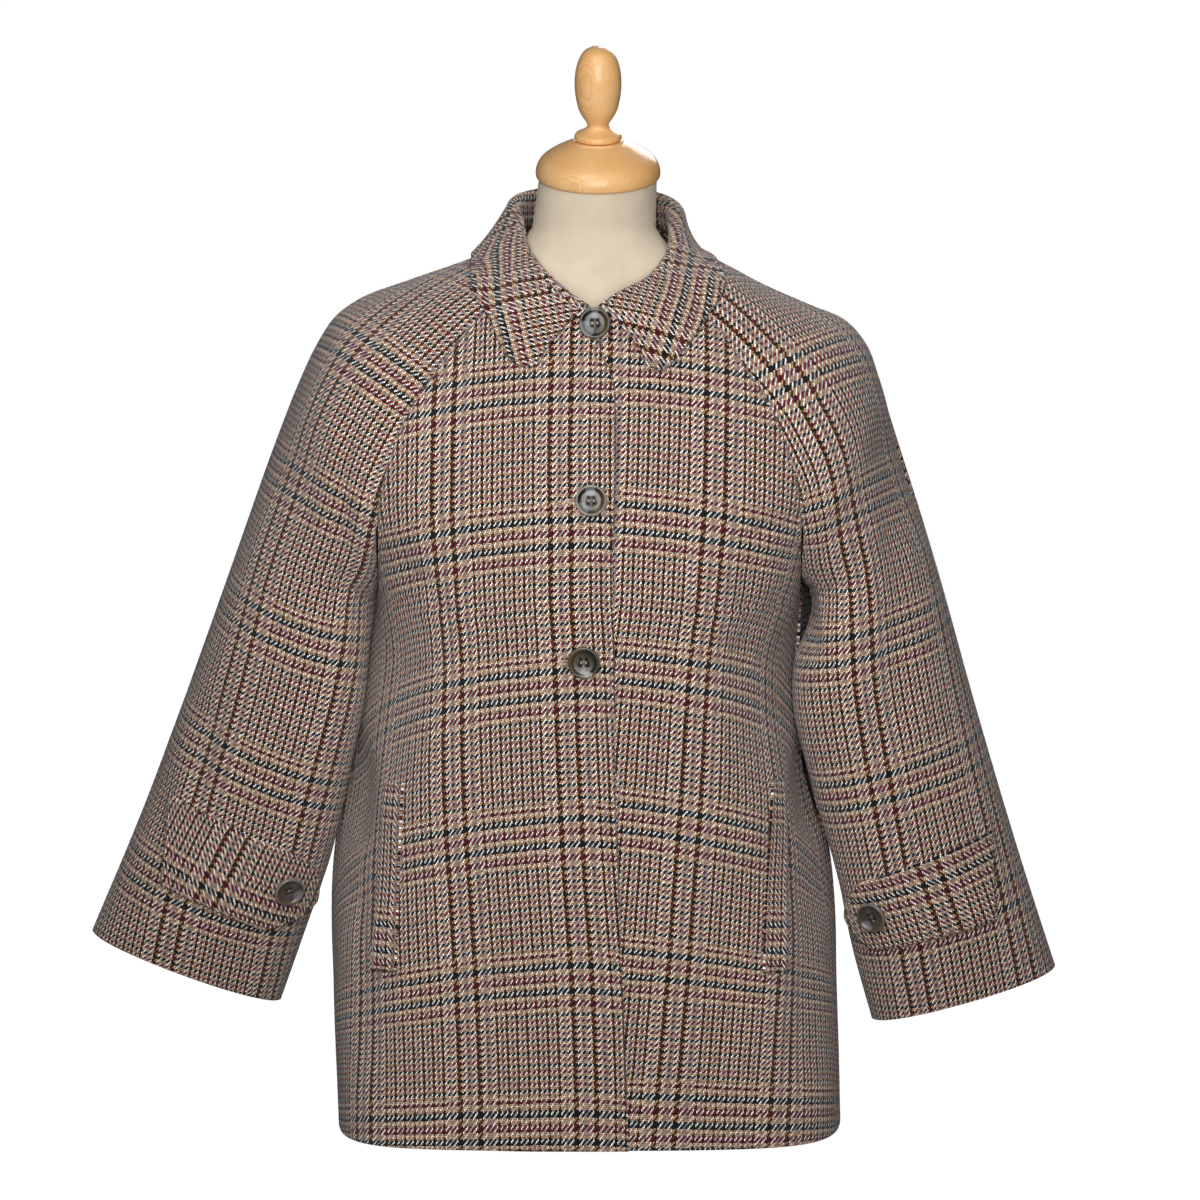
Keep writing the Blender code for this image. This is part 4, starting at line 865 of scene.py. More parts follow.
STITCH_IN = 0.0070        # a row of stitches runs this far in from an edge
GROOVE, GROOVE_WIDE = 0.0013, 0.0013
TURNING, TURNING_AT = 0.0005, 0.0040


def crease_depth(creases, points):
    """How far a set of creases moves each point in."""
    depth = np.zeros(points.shape[:2])
    x, z = points[..., 0], points[..., 2]
    for c in creases:
        dx, dz = c.x2 - c.x1, c.z2 - c.z1
        length = math.hypot(dx, dz)
        along = np.clip(((x - c.x1) * dx + (z - c.z1) * dz) / length**2, 0, 1)
        off = np.hypot(x - c.x1 - along * dx, z - c.z1 - along * dz)
        depth += c.depth * np.exp(-(off / c.width)**2) * (0.35 + 0.65 * np.sin(math.pi * along)**0.5)
    return depth


def seam_depth(d, stitched):
    """How far the cloth dips at d metres from a sewn edge."""
    dip = GROOVE * np.exp(-(d / GROOVE_WIDE)**2) - TURNING * np.exp(-((d - TURNING_AT) / 0.0022)**2)
    if stitched:
        dip = dip + 0.0006 * np.exp(-((d - STITCH_IN) / 0.0011)**2)
    return dip


def underarm_swell(stations, d):
    """Below the underarm, body and sleeve press against each other: their seams swell shut."""
    near = ease(0.96, 1.0, stations) * (1 - ease(1.22, 1.34, stations))
    return near[:, None] * (seam_depth(d, False) + 0.0011 * np.exp(-(d / 0.02)**2))


def edge_depth(d):
    """How far the cloth dips at d metres from a folded edge: only its row of stitches."""
    return 0.0006 * np.exp(-((d - STITCH_IN) / 0.0012)**2)


HEM_DROP = 0.005          # the hem hangs a little lower than the solid's, to hide the base


# Which edges of each piece are sewn, and which of those have a row of stitches beside them.
dressed = {}
for name, cloth in cloths.items():
    above_only = (cloth.stations <= 1.0)[:, None]
    dip = crease_depth(CREASES[name], cloth.points)
    if name.startswith("front"):
        dip += np.where(above_only, seam_depth(cloth.from_first, True), seam_depth(cloth.from_first, False))
        dip += edge_depth(cloth.from_last) - underarm_swell(cloth.stations, cloth.from_first)
    elif name == "back":
        for d in (cloth.from_first, cloth.from_last):
            dip += np.where(above_only, seam_depth(d, True), seam_depth(d, False))
            dip -= underarm_swell(cloth.stations, d)
    else:
        dip += seam_depth(cloth.from_first, False) + seam_depth(cloth.from_last, False)
        dip -= underarm_swell(cloth.stations, cloth.from_last)
    if name == "front_right":
        dip -= lap_lift(cloth.stations, cloth.points)
    dressed[name] = cloth.points - normals[name] * dip[..., None]
    if not name.startswith("sleeve"):
        dressed[name][..., 2] -= HEM_DROP * ease(1.88, 2.0, cloth.stations)[:, None]
    print(name, "moves in by up to", round(1000 * float(dip.max()), 1), "mm")

# %% [markdown]
# ## Pressing the pieces flat
# The weave has to follow the cloth, so each piece needs its flat cut as a map: where would
# this point lie if the piece were unpicked and pressed on a table? Blender's unwrap tools give
# such a map without a scale. This small solver keeps the threads' real lengths instead: every
# step between neighbouring points wants its own length back, and all the steps are
# settled together, again and again, until the piece is flat. The result is in metres, and it
# is the pattern a cutter would draw, so it also says how large each piece of cloth was.

# %% Flat patterns
FLAT_STEPS = 60


def pressed_flat(grid):
    """Lay a coarse curved grid out flat, each thread keeping its length. Returns u, v in metres."""
    rows, columns = grid.shape[:2]
    number = np.arange(rows * columns).reshape(rows, columns)
    steps = ((number[:, :-1], number[:, 1:], 1.0), (number[:-1], number[1:], 1.0),
             (number[:-1, :-1], number[1:, 1:], 0.4), (number[:-1, 1:], number[1:, :-1], 0.4))
    a = np.concatenate([one.ravel() for one, two, stiff in steps])
    b = np.concatenate([two.ravel() for one, two, stiff in steps])
    points = grid.reshape(-1, 3)
    rest = np.linalg.norm(points[a] - points[b], axis=1)
    weight = np.concatenate([np.full(one.size, stiff) for one, two, stiff in steps]) / rest
    pull = np.zeros((len(points), len(points)))
    for i, j, sign in ((a, a, 1), (b, b, 1), (a, b, -1), (b, a, -1)):
        np.add.at(pull, (i, j), sign * weight)
    pull[0, 0] += weight.mean()
    settle = np.linalg.inv(pull)
    across = walked(grid) - walked(grid)[:, -1:] / 2
    down = np.pad(np.cumsum(np.linalg.norm(np.diff(grid, axis=0), axis=2).mean(axis=1)), (1, 0))
    flat = np.stack([across, np.broadcast_to(-down[:, None], across.shape)], axis=2).reshape(-1, 2)
    for _ in range(FLAT_STEPS):
        gap = flat[a] - flat[b]
        gap *= (weight * rest / np.linalg.norm(gap, axis=1))[:, None]
        push = np.zeros((len(points), 2))
        np.add.at(push, a, gap)
        np.add.at(push, b, -gap)
        flat = settle @ push
    return flat.reshape(rows, columns, 2)


def every(count, step):
    """Indices from 0 to the last one, about step apart."""
    return np.unique(np.linspace(0, count - 1, max(int(round(count / step)), 3)).astype(int))


def flat_pattern(points, row_step=4, column_step=3):
    """The flat place of every point: solved on a coarse grid, read back on the fine one."""
    rows, columns = every(points.shape[0], row_step), every(points.shape[1], column_step)
    coarse = pressed_flat(points[np.ix_(rows, columns)])
    far = walked(points)
    wide = np.array([smooth(far[r][columns], flat, far[r]) for r, flat in zip(rows, coarse)])
    tall = smooth(rows, wide.reshape(len(rows), -1), np.arange(len(points)))
    return tall.reshape(*points.shape[:2], 2)


def aligned(flat, line, turn=0.0, shift=(0.0, 0.0)):
    """Turn a pattern so that a line of its points runs up the grain, from U = 0 and V = 0."""
    run = line[0] - line[-1]
    angle = math.atan2(run[0], run[1]) + math.radians(turn)
    c, s = math.cos(angle), math.sin(angle)
    spin = np.array([[c, -s], [s, c]])
    middle = line.mean(axis=0) @ spin.T
    turned_flat = flat @ spin.T
    low = (line @ spin.T)[-1, 1]
    return turned_flat - np.array([middle[0], low]) + np.array(shift)


def line_at(flat, far, wanted):
    """The pattern's points at wanted lengths along each row."""
    return np.array([[np.interp(w, f, row[:, k]) for k in (0, 1)] for row, f, w in zip(flat, far, wanted)])


# How the woven lines of each piece lie on the form, station by station, seen from outside:
# how far the warp has swung to the right (metres), and how the weft runs down away from the
# middle line, evenly to the right (slope) and more and more to both sides (sag).
Lie = namedtuple("Lie", "v swing slope sag")
LIES = {
    "front_right": [Lie(0.0, 0, 0, 0.5), Lie(0.6, 0, 0, 0.7), Lie(1.05, 0.001, 0, 0.9), Lie(1.4, 0.010, 0, 1.1),
                    Lie(1.75, 0.023, 0, 0.9), Lie(1.9, 0.026, 0, 0.5), Lie(2.0, 0.027, 0, 0.3)],
    "front_left": [Lie(0.0, 0, 0, 0.5), Lie(0.6, 0, 0, 0.6), Lie(1.05, -0.001, 0, 0.7), Lie(1.3, -0.009, 0, 1.1),
                   Lie(1.6, -0.020, 0, 1.1), Lie(1.8, -0.028, 0, 0.6), Lie(2.0, -0.036, 0, 0.2)],
    "back": [Lie(0.0, 0, 0, 0.5), Lie(1.0, 0, 0, 0.7), Lie(1.6, 0, 0, 0.8), Lie(2.0, 0, 0, 0.4)],
    "sleeve_front_right": [Lie(0.0, 0, 0.0, 0), Lie(0.8, 0, 0.06, 0), Lie(1.1, -0.004, 0.12, 0),
                           Lie(1.5, -0.013, 0.15, 0), Lie(2.0, -0.013, 0.10, 0)],
    "sleeve_back_right": [Lie(0.0, 0, 0.0, 0), Lie(1.0, 0, -0.10, 0), Lie(2.0, 0, -0.08, 0)],
    "sleeve_front_left": [Lie(0.0, 0, 0.14, 0), Lie(0.8, 0, 0.02, 0), Lie(1.1, 0, -0.08, 0),
                          Lie(1.5, 0, -0.10, 0), Lie(2.0, 0, -0.07, 0)],
    "sleeve_back_left": [Lie(0.0, 0, 0.0, 0), Lie(1.0, 0, 0.08, 0), Lie(2.0, 0, 0.07, 0)]}
SAG_NEAR, SAG_FAR = 0.05, 0.7           # the sag's slope at the middle line, and how it grows outward

# Where the check starts on each piece: metres to the right of its middle line, and up.
CHECK_AT = {"front_right": (0.0015, -0.0088), "front_left": (0.0270, 0.0040), "back": (0.0, -0.0088),
            "sleeve_front_right": (0.0010, 0.0396), "sleeve_back_right": (0.0010, 0.0396),
            "sleeve_front_left": (0.0, 0.0490), "sleeve_back_left": (0.0, 0.0490)}


def woven_lines(name, flat, stations):
    """The pattern with its woven lines as they lie on the form: what the tweed is drawn by."""
    lie = read(LIES[name], stations)
    u, v = flat[..., 0], flat[..., 1]
    sag = lie.sag[:, None] * (SAG_NEAR * np.abs(u) + SAG_FAR * u**2)
    across, up = CHECK_AT[name]
    return np.stack([u - lie.swing[:, None] - across, v + lie.slope[:, None] * u + sag - up], axis=2)


patterns, woven = {}, {}
for name, cloth in cloths.items():
    flat = flat_pattern(cloth.points)
    far, full = cloth.from_first, (cloth.from_first + cloth.from_last)[:, 0]
    if name.startswith("front"):
        side = LEFT if name == "front_right" else RIGHT
        centre = walked(across_body(FRONT, STATIONS, float(side) * np.linspace(1, 0, 241)[None]
                                    * np.ones((len(STATIONS), 1))))[:, -1]
    else:
        centre = full / 2
    lower = cloth.stations >= 0.35
    if SIGNS[name] > 0:
        flat = flat * (-1, 1)           # so that U grows to the right, seen from outside
    patterns[name] = aligned(flat, line_at(flat, far, centre)[lower])
    woven[name] = woven_lines(name, patterns[name], cloth.stations)
    size = np.ptp(patterns[name].reshape(-1, 2), axis=0)
    print(name, "was cut from", round(1000 * float(size[0])), "by", round(1000 * float(size[1])), "mm")

# %% [markdown]
# ## A shell with soft edges
# A single sheet of faces has no edge, and an extruded one has a knife edge. Folded tweed is
# round at its edge. So a piece is a closed shell: the outer grid, the inner grid one thickness
# in, and around them a rim of three loops, which is a half circle along a free edge and
# straight along a sewn one, where the next piece meets it.

# %% The shell maker
RIM_ANGLES = np.radians([40, 90, 140])


def shell(name, outer, normal, thick, uv, material, free=("top", "bottom")):
    """A closed thin piece from its outer grid, round along its free edges."""
    rows, columns = outer.shape[:2]
    ends = {"top": (np.s_[0, :], np.s_[1, :]), "bottom": (np.s_[-1, :], np.s_[-2, :]),
            "first": (np.s_[:, 0], np.s_[:, 1]), "last": (np.s_[:, -1], np.s_[:, -2])}
    middle = outer - normal * (thick / 2)
    away = np.zeros_like(outer)
    for edge in free:
        rim, inner = ends[edge]
        step = middle[rim] - middle[inner]
        away[rim] += step / np.linalg.norm(step, axis=-1, keepdims=True)
    away /= np.maximum(np.linalg.norm(away, axis=2, keepdims=True), 1.0)
    middle = middle - away * (thick / 2)
    number = np.arange(rows * columns).reshape(rows, columns)
    ring = np.concatenate([number[0], number[1:, -1], number[-1, -2::-1], number[-2:0:-1, 0]])
    flat_middle, flat_normal, flat_away = (a.reshape(-1, 3) for a in (middle, normal, away))
    layers = [flat_middle + flat_normal * (thick / 2)]
    layers += [(flat_middle + (thick / 2) * (math.cos(a) * flat_normal + math.sin(a) * flat_away))[ring]
               for a in RIM_ANGLES]
    layers.append(flat_middle - flat_normal * (thick / 2))
    verts = np.vstack(layers)
    flat_uv = uv.reshape(-1, 2)
    vert_uv = np.vstack([flat_uv] + [flat_uv[ring]] * len(RIM_ANGLES) + [flat_uv])
    quads = np.stack([number[:-1, :-1], number[:-1, 1:], number[1:, 1:], number[1:, :-1]], axis=2).reshape(-1, 4)
    size, under = rows * columns, rows * columns + len(RIM_ANGLES) * len(ring)
    steps = [size + k * len(ring) + np.arange(len(ring)) for k in range(len(RIM_ANGLES))]
    loops = [ring] + steps + [under + ring]
    faces = [quads, quads[:, ::-1] + under]
    for high, low in zip(loops, loops[1:]):
        faces.append(np.stack([high, low, np.roll(low, -1), np.roll(high, -1)], axis=1))
    faces = np.vstack(faces)
    a, b, d = (outer[r, c] for r, c in ((0, 0), (0, 1), (1, 0)))
    if np.cross(b - a, d - a) @ normal[0, 0] < 0:
        faces = faces[:, ::-1]
    mesh = bpy.data.meshes.new(name)
    mesh.from_pydata(verts.tolist(), [], faces.tolist())
    layer = mesh.uv_layers.new(name="cloth")
    corner = np.empty(len(mesh.loops), dtype=np.int32)
    mesh.loops.foreach_get("vertex_index", corner)
    layer.data.foreach_set("uv", vert_uv[corner].ravel())
    mesh.materials.append(material)
    mesh.shade_smooth()
    piece = bpy.data.objects.new(name, mesh)
    bpy.context.collection.objects.link(piece)
    return piece


def as_sheet(piece):
    """Attach a piece of cloth to the root body that carries it."""
    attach(piece, "root")


# %% The panels
FREE_EDGES = {"front_right": ("top", "bottom", "last"), "front_left": ("top", "bottom", "last")}
panels = {}
for name, cloth in cloths.items():
    piece = shell("cloth_" + name, dressed[name], normals[name], CLOTH, woven[name], tweed,
                  FREE_EDGES.get(name, ("top", "bottom")))
    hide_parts(name)
    panels[name] = piece
    print(piece.name, len(piece.data.polygons), "faces")

# %% [markdown]
# ## Laying one piece on another
# The collar, the pocket welts and the cuff tabs lie on the cloth under them. Placing them by
# eye would leave them sunk in one place and floating in another. Instead each is made from
# the rows it lies on, and then asked, point by point, how far it stands off the nearest
# cloth. Where that is too little the point moves out along its own normal.

# %% The skin of the jacket


def skin_of(names):
    """The outer faces of some panels in one searchable surface, facing out."""
    points, faces = [], []
    for name in names:
        grid = dressed[name]
        rows, columns = grid.shape[:2]
        number = len(points) + np.arange(rows * columns).reshape(rows, columns)
        quads = np.stack([number[:-1, :-1], number[:-1, 1:], number[1:, 1:], number[1:, :-1]], axis=2)
        quads = quads.reshape(-1, 4)
        turned_over = name in ("front_right", "sleeve_front_right", "sleeve_back_left")
        faces += (quads[:, ::-1] if turned_over else quads).tolist()
        points += [Vector(p) for p in grid.reshape(-1, 3)]
    return BVHTree.FromPolygons(points, faces)


def lie_on(skin, grid, normal, gap, movable=None, rounds=4):
    """Move a grid of points out along its normals until each stands the gap off the skin."""
    grid = grid.copy()
    for _ in range(rounds):
        lack = np.zeros(grid.shape[:2])
        for place in np.ndindex(lack.shape):
            probe = Vector(grid[place])
            near, face_normal, _, _ = skin.find_nearest(probe)
            lack[place] = max(gap - (probe - near).dot(face_normal), 0.0)
        if movable is not None:
            lack *= movable
        grid += normal * lack[..., None]
        if lack.max() < 0.00002:
            break
    return grid


body_skin = skin_of(list(cloths))
print("skin of", len(cloths), "panels")

# %% [markdown]
# ## The collar
# The collar is one strip around the neck: it rises as a stand, rolls over and falls as a leaf
# with a pointed end on each front. A section taken across it is a short rise, a tight arc and
# a gently bellied fall, so the whole collar is that section carried around the neck seam,
# with the roll and the outer edge read from a table. Each side has its own table, because
# the two leaves don't lie the same.

# %% Collar tables
NECK_SEAM_RISE = 0.0007
COLLAR_START = 0.07       # the collar's ends are sewn this part of a front's neck edge from the centre

# From the centre front (0) by the shoulder (2) to the centre back (4): the roll at the top
# and the leaf's outer edge.
Leaf = namedtuple("Leaf", "v roll_out roll_on roll_up round edge_out edge_on edge_up belly")
LEAF_LEFT = [
    Leaf(0.00, 0.0055, 0.0870, 0.6782, 0.0031, 0.0465, 0.1050, 0.6290, 0.003),
    Leaf(0.14, 0.0085, 0.0860, 0.6800, 0.0033, 0.0575, 0.1035, 0.6300, 0.004),
    Leaf(0.40, 0.0220, 0.0800, 0.6890, 0.0036, 0.0690, 0.0980, 0.6380, 0.004),
    Leaf(0.75, 0.0400, 0.0660, 0.7035, 0.0040, 0.0800, 0.0870, 0.6580, 0.004),
    Leaf(1.30, 0.0560, 0.0340, 0.7235, 0.0046, 0.0900, 0.0570, 0.6810, 0.003),
    Leaf(2.00, 0.0625, -0.0020, 0.7440, 0.0055, 0.1010, 0.0100, 0.7110, -0.001),
    Leaf(2.50, 0.0665, -0.0280, 0.7560, 0.0060, 0.0990, -0.0260, 0.7140, -0.001),
    Leaf(3.20, 0.0480, -0.0590, 0.7635, 0.0062, 0.0740, -0.0800, 0.7120, 0.002),
    Leaf(4.00, 0.0000, -0.0720, 0.7660, 0.0064, 0.0000, -0.1060, 0.7080, 0.004)]
LEAF_RIGHT = [
    Leaf(0.00, 0.0055, 0.0860, 0.6785, 0.0031, 0.0445, 0.1050, 0.6305, 0.003),
    Leaf(0.14, 0.0085, 0.0850, 0.6803, 0.0033, 0.0560, 0.1030, 0.6270, 0.004),
    Leaf(0.40, 0.0215, 0.0795, 0.6890, 0.0036, 0.0690, 0.0975, 0.6380, 0.004),
    Leaf(0.75, 0.0420, 0.0645, 0.6985, 0.0040, 0.0845, 0.0840, 0.6570, 0.004),
    Leaf(1.30, 0.0600, 0.0360, 0.7175, 0.0046, 0.0960, 0.0500, 0.6840, 0.003),
    Leaf(2.00, 0.0660, -0.0020, 0.7400, 0.0070, 0.0985, 0.0050, 0.7080, -0.003),
    Leaf(2.50, 0.0655, -0.0280, 0.7525, 0.0080, 0.0945, -0.0290, 0.7090, -0.004),
    Leaf(3.20, 0.0480, -0.0590, 0.7615, 0.0062, 0.0740, -0.0800, 0.7110, 0.002),
    Leaf(4.00, 0.0000, -0.0720, 0.7660, 0.0064, 0.0000, -0.1060, 0.7080, 0.004)]

# %% Collar shape


def side_rows(rows, side, face, v, t):
    """One row's points at shares t."""
    return rows(side, face, np.array([v]), np.atleast_1d(np.asarray(t, dtype=float))[None])[0]


def surface_at(rows, side, v, t, flip):
    """Points and unit normals of a front's or sleeve's outer face at stations v and shares t."""
    nudge = 0.004
    v, t = np.asarray(v, dtype=float), np.asarray(t, dtype=float)
    here = rows(side, FRONT, v, t)
    across = rows(side, FRONT, v, t + nudge) - rows(side, FRONT, v, t - nudge)
    down = rows(side, FRONT, v + nudge, t) - rows(side, FRONT, v - nudge, t)
    normal = flip * side * np.cross(across, down)
    return here, normal / np.linalg.norm(normal, axis=-1, keepdims=True)


def neck_edge(side, v):
    """The neck seam of one side at v: 0 centre front, 1 and 3 raglan seams, 2 shoulder, 4 back."""
    if v <= 1 and side == LEFT:
        point, normal = surface_at(body_rows, LEFT, [0.0], [[v]], -1)
        return (point + normal * lap_lift(np.array([0.0]), point)[..., None])[0, 0]
    if v <= 1:
        return side_rows(body_rows, side, FRONT, 0.0, v)[0]
    if v <= 2:
        return side_rows(sleeve_rows, side, FRONT, 0.0, 2 - v)[0]
    if v <= 3:
        return side_rows(sleeve_rows, side, BACK, 0.0, v - 2)[0]
    return side_rows(body_rows, side, BACK, 0.0, 4 - v)[0]


LEAF_SHARES = np.concatenate([np.linspace(0.12, 0.82, 9), [0.88, 0.91, 0.94, 0.965, 0.985, 1.0]])


def collar_section(side, v):
    """The collar's face at one station: up the stand, over the roll, down the leaf."""
    leaf = read(LEAF_LEFT if side == LEFT else LEAF_RIGHT, v)
    foot = neck_edge(side, max(v, COLLAR_START + v / 2)) + np.array([0, 0, NECK_SEAM_RISE])
    roll, edge = placed(np.array([(leaf.roll_out, -leaf.roll_on, leaf.roll_up),
                                  (leaf.edge_out, -leaf.edge_on, leaf.edge_up)]), side)
    away = (edge - roll) * (1, 1, 0)
    away /= np.linalg.norm(away)
    up = np.array([0, 0, 1.0])
    centre = roll - up * leaf.round
    turn = [centre + leaf.round * (away * math.cos(a) + up * math.sin(a))
            for a in np.radians(np.linspace(175, 10, 10))]
    stand = [foot + (turn[0] - foot) * s for s in (0, 0.25, 0.5, 0.75)]
    fall = edge - turn[-1]
    out = np.cross(np.cross(fall, up), fall)
    out /= max(np.linalg.norm(out), 1e-9)
    out = out if out @ away > 0 else -out
    leaf_points = [turn[-1] + fall * s + out * leaf.belly * 4 * s * (1 - s) for s in LEAF_SHARES]
    return np.array(stand + turn + leaf_points)


steps = 4 * np.linspace(0, 1, 76) ** 1.15
collar_face = np.array([collar_section(LEFT, v) for v in steps]
                       + [collar_section(RIGHT, v) for v in steps[-2::-1]])
collar_normal = normals_of(collar_face, -1)
leaf_only = np.zeros(collar_face.shape[:2])
leaf_only[:, 14:] = 1.0
collar_face = lie_on(body_skin, collar_face, collar_normal, CLOTH + LAYER_GAP, leaf_only)
collar_flat = flat_pattern(collar_face, 4, 2)
collar_uv = aligned(collar_flat, collar_flat[75][::-1])
collar = shell("cloth_collar", collar_face, collar_normal, CLOTH, collar_uv, tweed, ("top", "bottom", "last"))
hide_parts("collar")
print("collar:", len(collar.data.polygons), "faces, leaf", round(1000 * float(np.linalg.norm(
    collar_face[40, -1] - collar_face[40, 13]))), "mm deep")

# %% [markdown]
# ## Pocket welts and cuff tabs
# A welt is a folded strip over a slanted pocket opening, sewn down on the side of the centre.
# A tab is a flat strip caught in a seam of the cuff, with a blunt point and a button. Both
# are strips of the cloth's own surface, moved out: a grid of stations and shares laid over the
# panel gives the points, and the panel's normals say which way is out.

# %% Welts
WELT_CHECK = (0.0030, 0.0)               # a dark yarn runs along the welt's inner fold
# Pocket welts: their top and lower end by station, and how far out from the jacket's centre
# line their middle runs at those two ends.
WELT_TOP, WELT_LOW = 1.325, 1.680
WELT_OUT = {LEFT: (0.1533, 0.1604), RIGHT: (0.1546, 0.1549)}
WELT_HALF = 0.0125
WELT_THICK = 0.0026


def strip(name, points, normal, thick, turn=0.0, shift=(0.0, 0.0)):
    """A flat piece on a panel: the panel's points, moved out by the gap and its thickness."""
    under = lie_on(body_skin, points, normal, LAYER_GAP)
    flat = flat_pattern(under, 2, 2) * ((-1, 1) if name.endswith("left") else (1, 1))
    uv = aligned(flat, flat[:, flat.shape[1] // 2], turn, shift)
    piece = shell("cloth_" + name, under + normal * thick, normal, thick, uv, tweed,
                  ("top", "bottom", "first", "last"))
    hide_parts(name)
    print(name, "is", [round(1000 * float(n)) for n in np.ptp(uv.reshape(-1, 2), axis=0)], "mm")
    return piece, under, uv


def row_speed(rows, side, v, t):
    """Metres of row for each unit of t."""
    a, b = (rows(side, FRONT, v, (t + d)[:, None])[:, 0] for d in (-0.01, 0.01))
    return np.linalg.norm(b - a, axis=1) / 0.02


strips = {}
for side, wearer in ((LEFT, "right"), (RIGHT, "left")):
    s = np.linspace(0, 1, 54)
    v = WELT_TOP + (WELT_LOW - WELT_TOP) * s
    middle = share_at(side, v, WELT_OUT[side][0] + (WELT_OUT[side][1] - WELT_OUT[side][0]) * s)
    half = WELT_HALF / row_speed(body_rows, side, v, middle)
    t = middle[:, None] + half[:, None] * np.linspace(-1, 1, 13)
    points, normal = surface_at(body_rows, side, v, t, -1)
    strips["welt_" + wearer] = strip("welt_" + wearer, points, normal, WELT_THICK, 0.0, WELT_CHECK)

# %% Cuff tabs
TAB_LOFT = 0.0012         # the folded tab is springier than the solid's flat one
TAB_CHECK = {LEFT: (0.0, 0.0), RIGHT: (0.0, 0.0)}
# Cuff tabs: station and part of the row (0 over the arm, 1 under it) of their two long edges,
# at the seamed root and at the corners where the blunt point starts.
Edge = namedtuple("Edge", "root_v root_t corner_v corner_t")
TAB_EDGES = {LEFT: (Edge(1.584, 0.197, 1.642, 0.761), Edge(1.797, 0.310, 1.822, 0.702)),
             RIGHT: (Edge(1.632, 0.206, 1.666, 0.747), Edge(1.831, 0.311, 1.828, 0.779))}
TAB_POINT = {LEFT: 0.175, RIGHT: 0.150}        # how far the point runs on, as a part of the row
TAB_THICK = 0.0026
CUFF_BUTTON = {LEFT: (1.7135, 0.7117), RIGHT: (1.7457, 0.7251)}

for side, wearer in ((LEFT, "right"), (RIGHT, "left")):
    upper, lower = (np.array(edge) for edge in TAB_EDGES[side])
    k = np.linspace(0, 1, 21)[None, :]
    s = np.linspace(0, 1, 61)[:, None]
    root_v, root_t, corner_v, corner_t = ((upper + (lower - upper) * k[0][:, None])[:, i][None]
                                          for i in range(4))
    tip_t = corner_t + TAB_POINT[side] * (1 - np.abs(2 * k - 1)**1.3)
    v, t = root_v + (corner_v - root_v) * s, root_t + (tip_t - root_t) * s
    found = [surface_at(sleeve_rows, side, v[:, i], t[:, i:i + 1], 1) for i in range(k.shape[1])]
    points = np.concatenate([p for p, n in found], axis=1)
    normal = np.concatenate([n for p, n in found], axis=1)
    strips["tab_" + wearer] = strip("tab_" + wearer, points, normal, TAB_THICK + TAB_LOFT, 90,
                                    TAB_CHECK[side])

# %% [markdown]
# ## Attaching the cloth
# Every sheet of cloth is attached to the body that carries it.

# %% Sheets
for name, piece in panels.items():
    as_sheet(piece)
as_sheet(collar)
for name, (piece, under, uv) in strips.items():
    as_sheet(piece)
print("sheets declared:", len(panels) + 1 + len(strips))

# %% [markdown]
# ## Beech
# The cap, the finial, the column and the base are turned from one pale, oiled beech. Its
# grain is a block of wood seen through the turned shape: year rings are thin cylinders around
# the tree's heart, which runs up and down beside the finial, so an upright piece shows fine
# upright lines and the flat top of the cap shows arcs. Short dark flecks are typical of beech.
# A clear coat gives the soft highlights of a varnish.

# %% Beech material
RING_WIDTH = 0.0016
HEART = (0.055, 0.09)                    # where the tree's heart ran, from the axis of the piece
beech, tree, beech_shader = new_material("honey_beech", 0.42, Coat_Weight=0.45, Coat_Roughness=0.16,
                                         Specular_IOR_Level=0.4)
spot = tree.nodes.new("ShaderNodeTexCoord").outputs["Object"]
x, y, z = parts_of(tree, spot)
bend = calc(tree, "MULTIPLY_ADD", noise(tree, combined(tree, x, y, calc(tree, "MULTIPLY", z, 0.18)), 28.0, 2.0),
            0.012, -0.006)
from_heart = calc(tree, "SQRT", calc(tree, "ADD", calc(tree, "POWER", calc(tree, "ADD", x, HEART[0]), 2.0),
                                     calc(tree, "POWER", calc(tree, "ADD", y, HEART[1]), 2.0)))
year = calc(tree, "FRACT", calc(tree, "DIVIDE", calc(tree, "ADD", from_heart, bend), RING_WIDTH))
late_wood = calc(tree, "POWER", year, 2.5)
fleck = noise(tree, combined(tree, calc(tree, "MULTIPLY", x, 1400.0), calc(tree, "MULTIPLY", y, 1400.0),
                             calc(tree, "MULTIPLY", z, 220.0)), 1.0, 1.0)
fleck = stepped(tree, fleck, 0.62, 0.72)
tone = use_group(tree, mottle, Vector=spot, Size=0.03, Detail=2.0, Low=0.0, High=1.0)["Value"]
wood = blended(tree, tone, srgb(248, 205, 146), srgb(242, 184, 116))
wood = blended(tree, calc(tree, "MULTIPLY", late_wood, 0.5), wood, srgb(222, 150, 80))
wood = blended(tree, calc(tree, "MULTIPLY", fleck, 0.4), wood, srgb(190, 122, 62))
tree.links.new(wood, beech_shader.inputs["Base Color"])
raise_surface(tree, beech_shader, late_wood, 0.00003)
print("beech: year rings", RING_WIDTH, "m apart")

# %% [markdown]
# ## Buttons
# The buttons are turned from horn: a slightly domed underside, a raised rim and a dished
# middle with four holes. Turning is what a lathe does, so the shape is a profile swept round
# an axis. The holes are cut with a Boolean and are real, so thread can pass through them.

# %% Button profile and holes
Profile = namedtuple("Profile", "radius height")
BUTTON = [Profile(0.0090, 0.0000), Profile(0.0108, 0.0003), Profile(0.0119, 0.0010), Profile(0.0126, 0.0022),
          Profile(0.0127, 0.0030), Profile(0.0125, 0.0038), Profile(0.0120, 0.0044), Profile(0.0113, 0.0046),
          Profile(0.0107, 0.0045), Profile(0.0101, 0.0041), Profile(0.0094, 0.0035), Profile(0.0086, 0.0031),
          Profile(0.0074, 0.0029), Profile(0.0058, 0.0028)]
BUTTON_SIDES = 72
HOLE_RADIUS, HOLE_PITCH = 0.00115, 0.0042

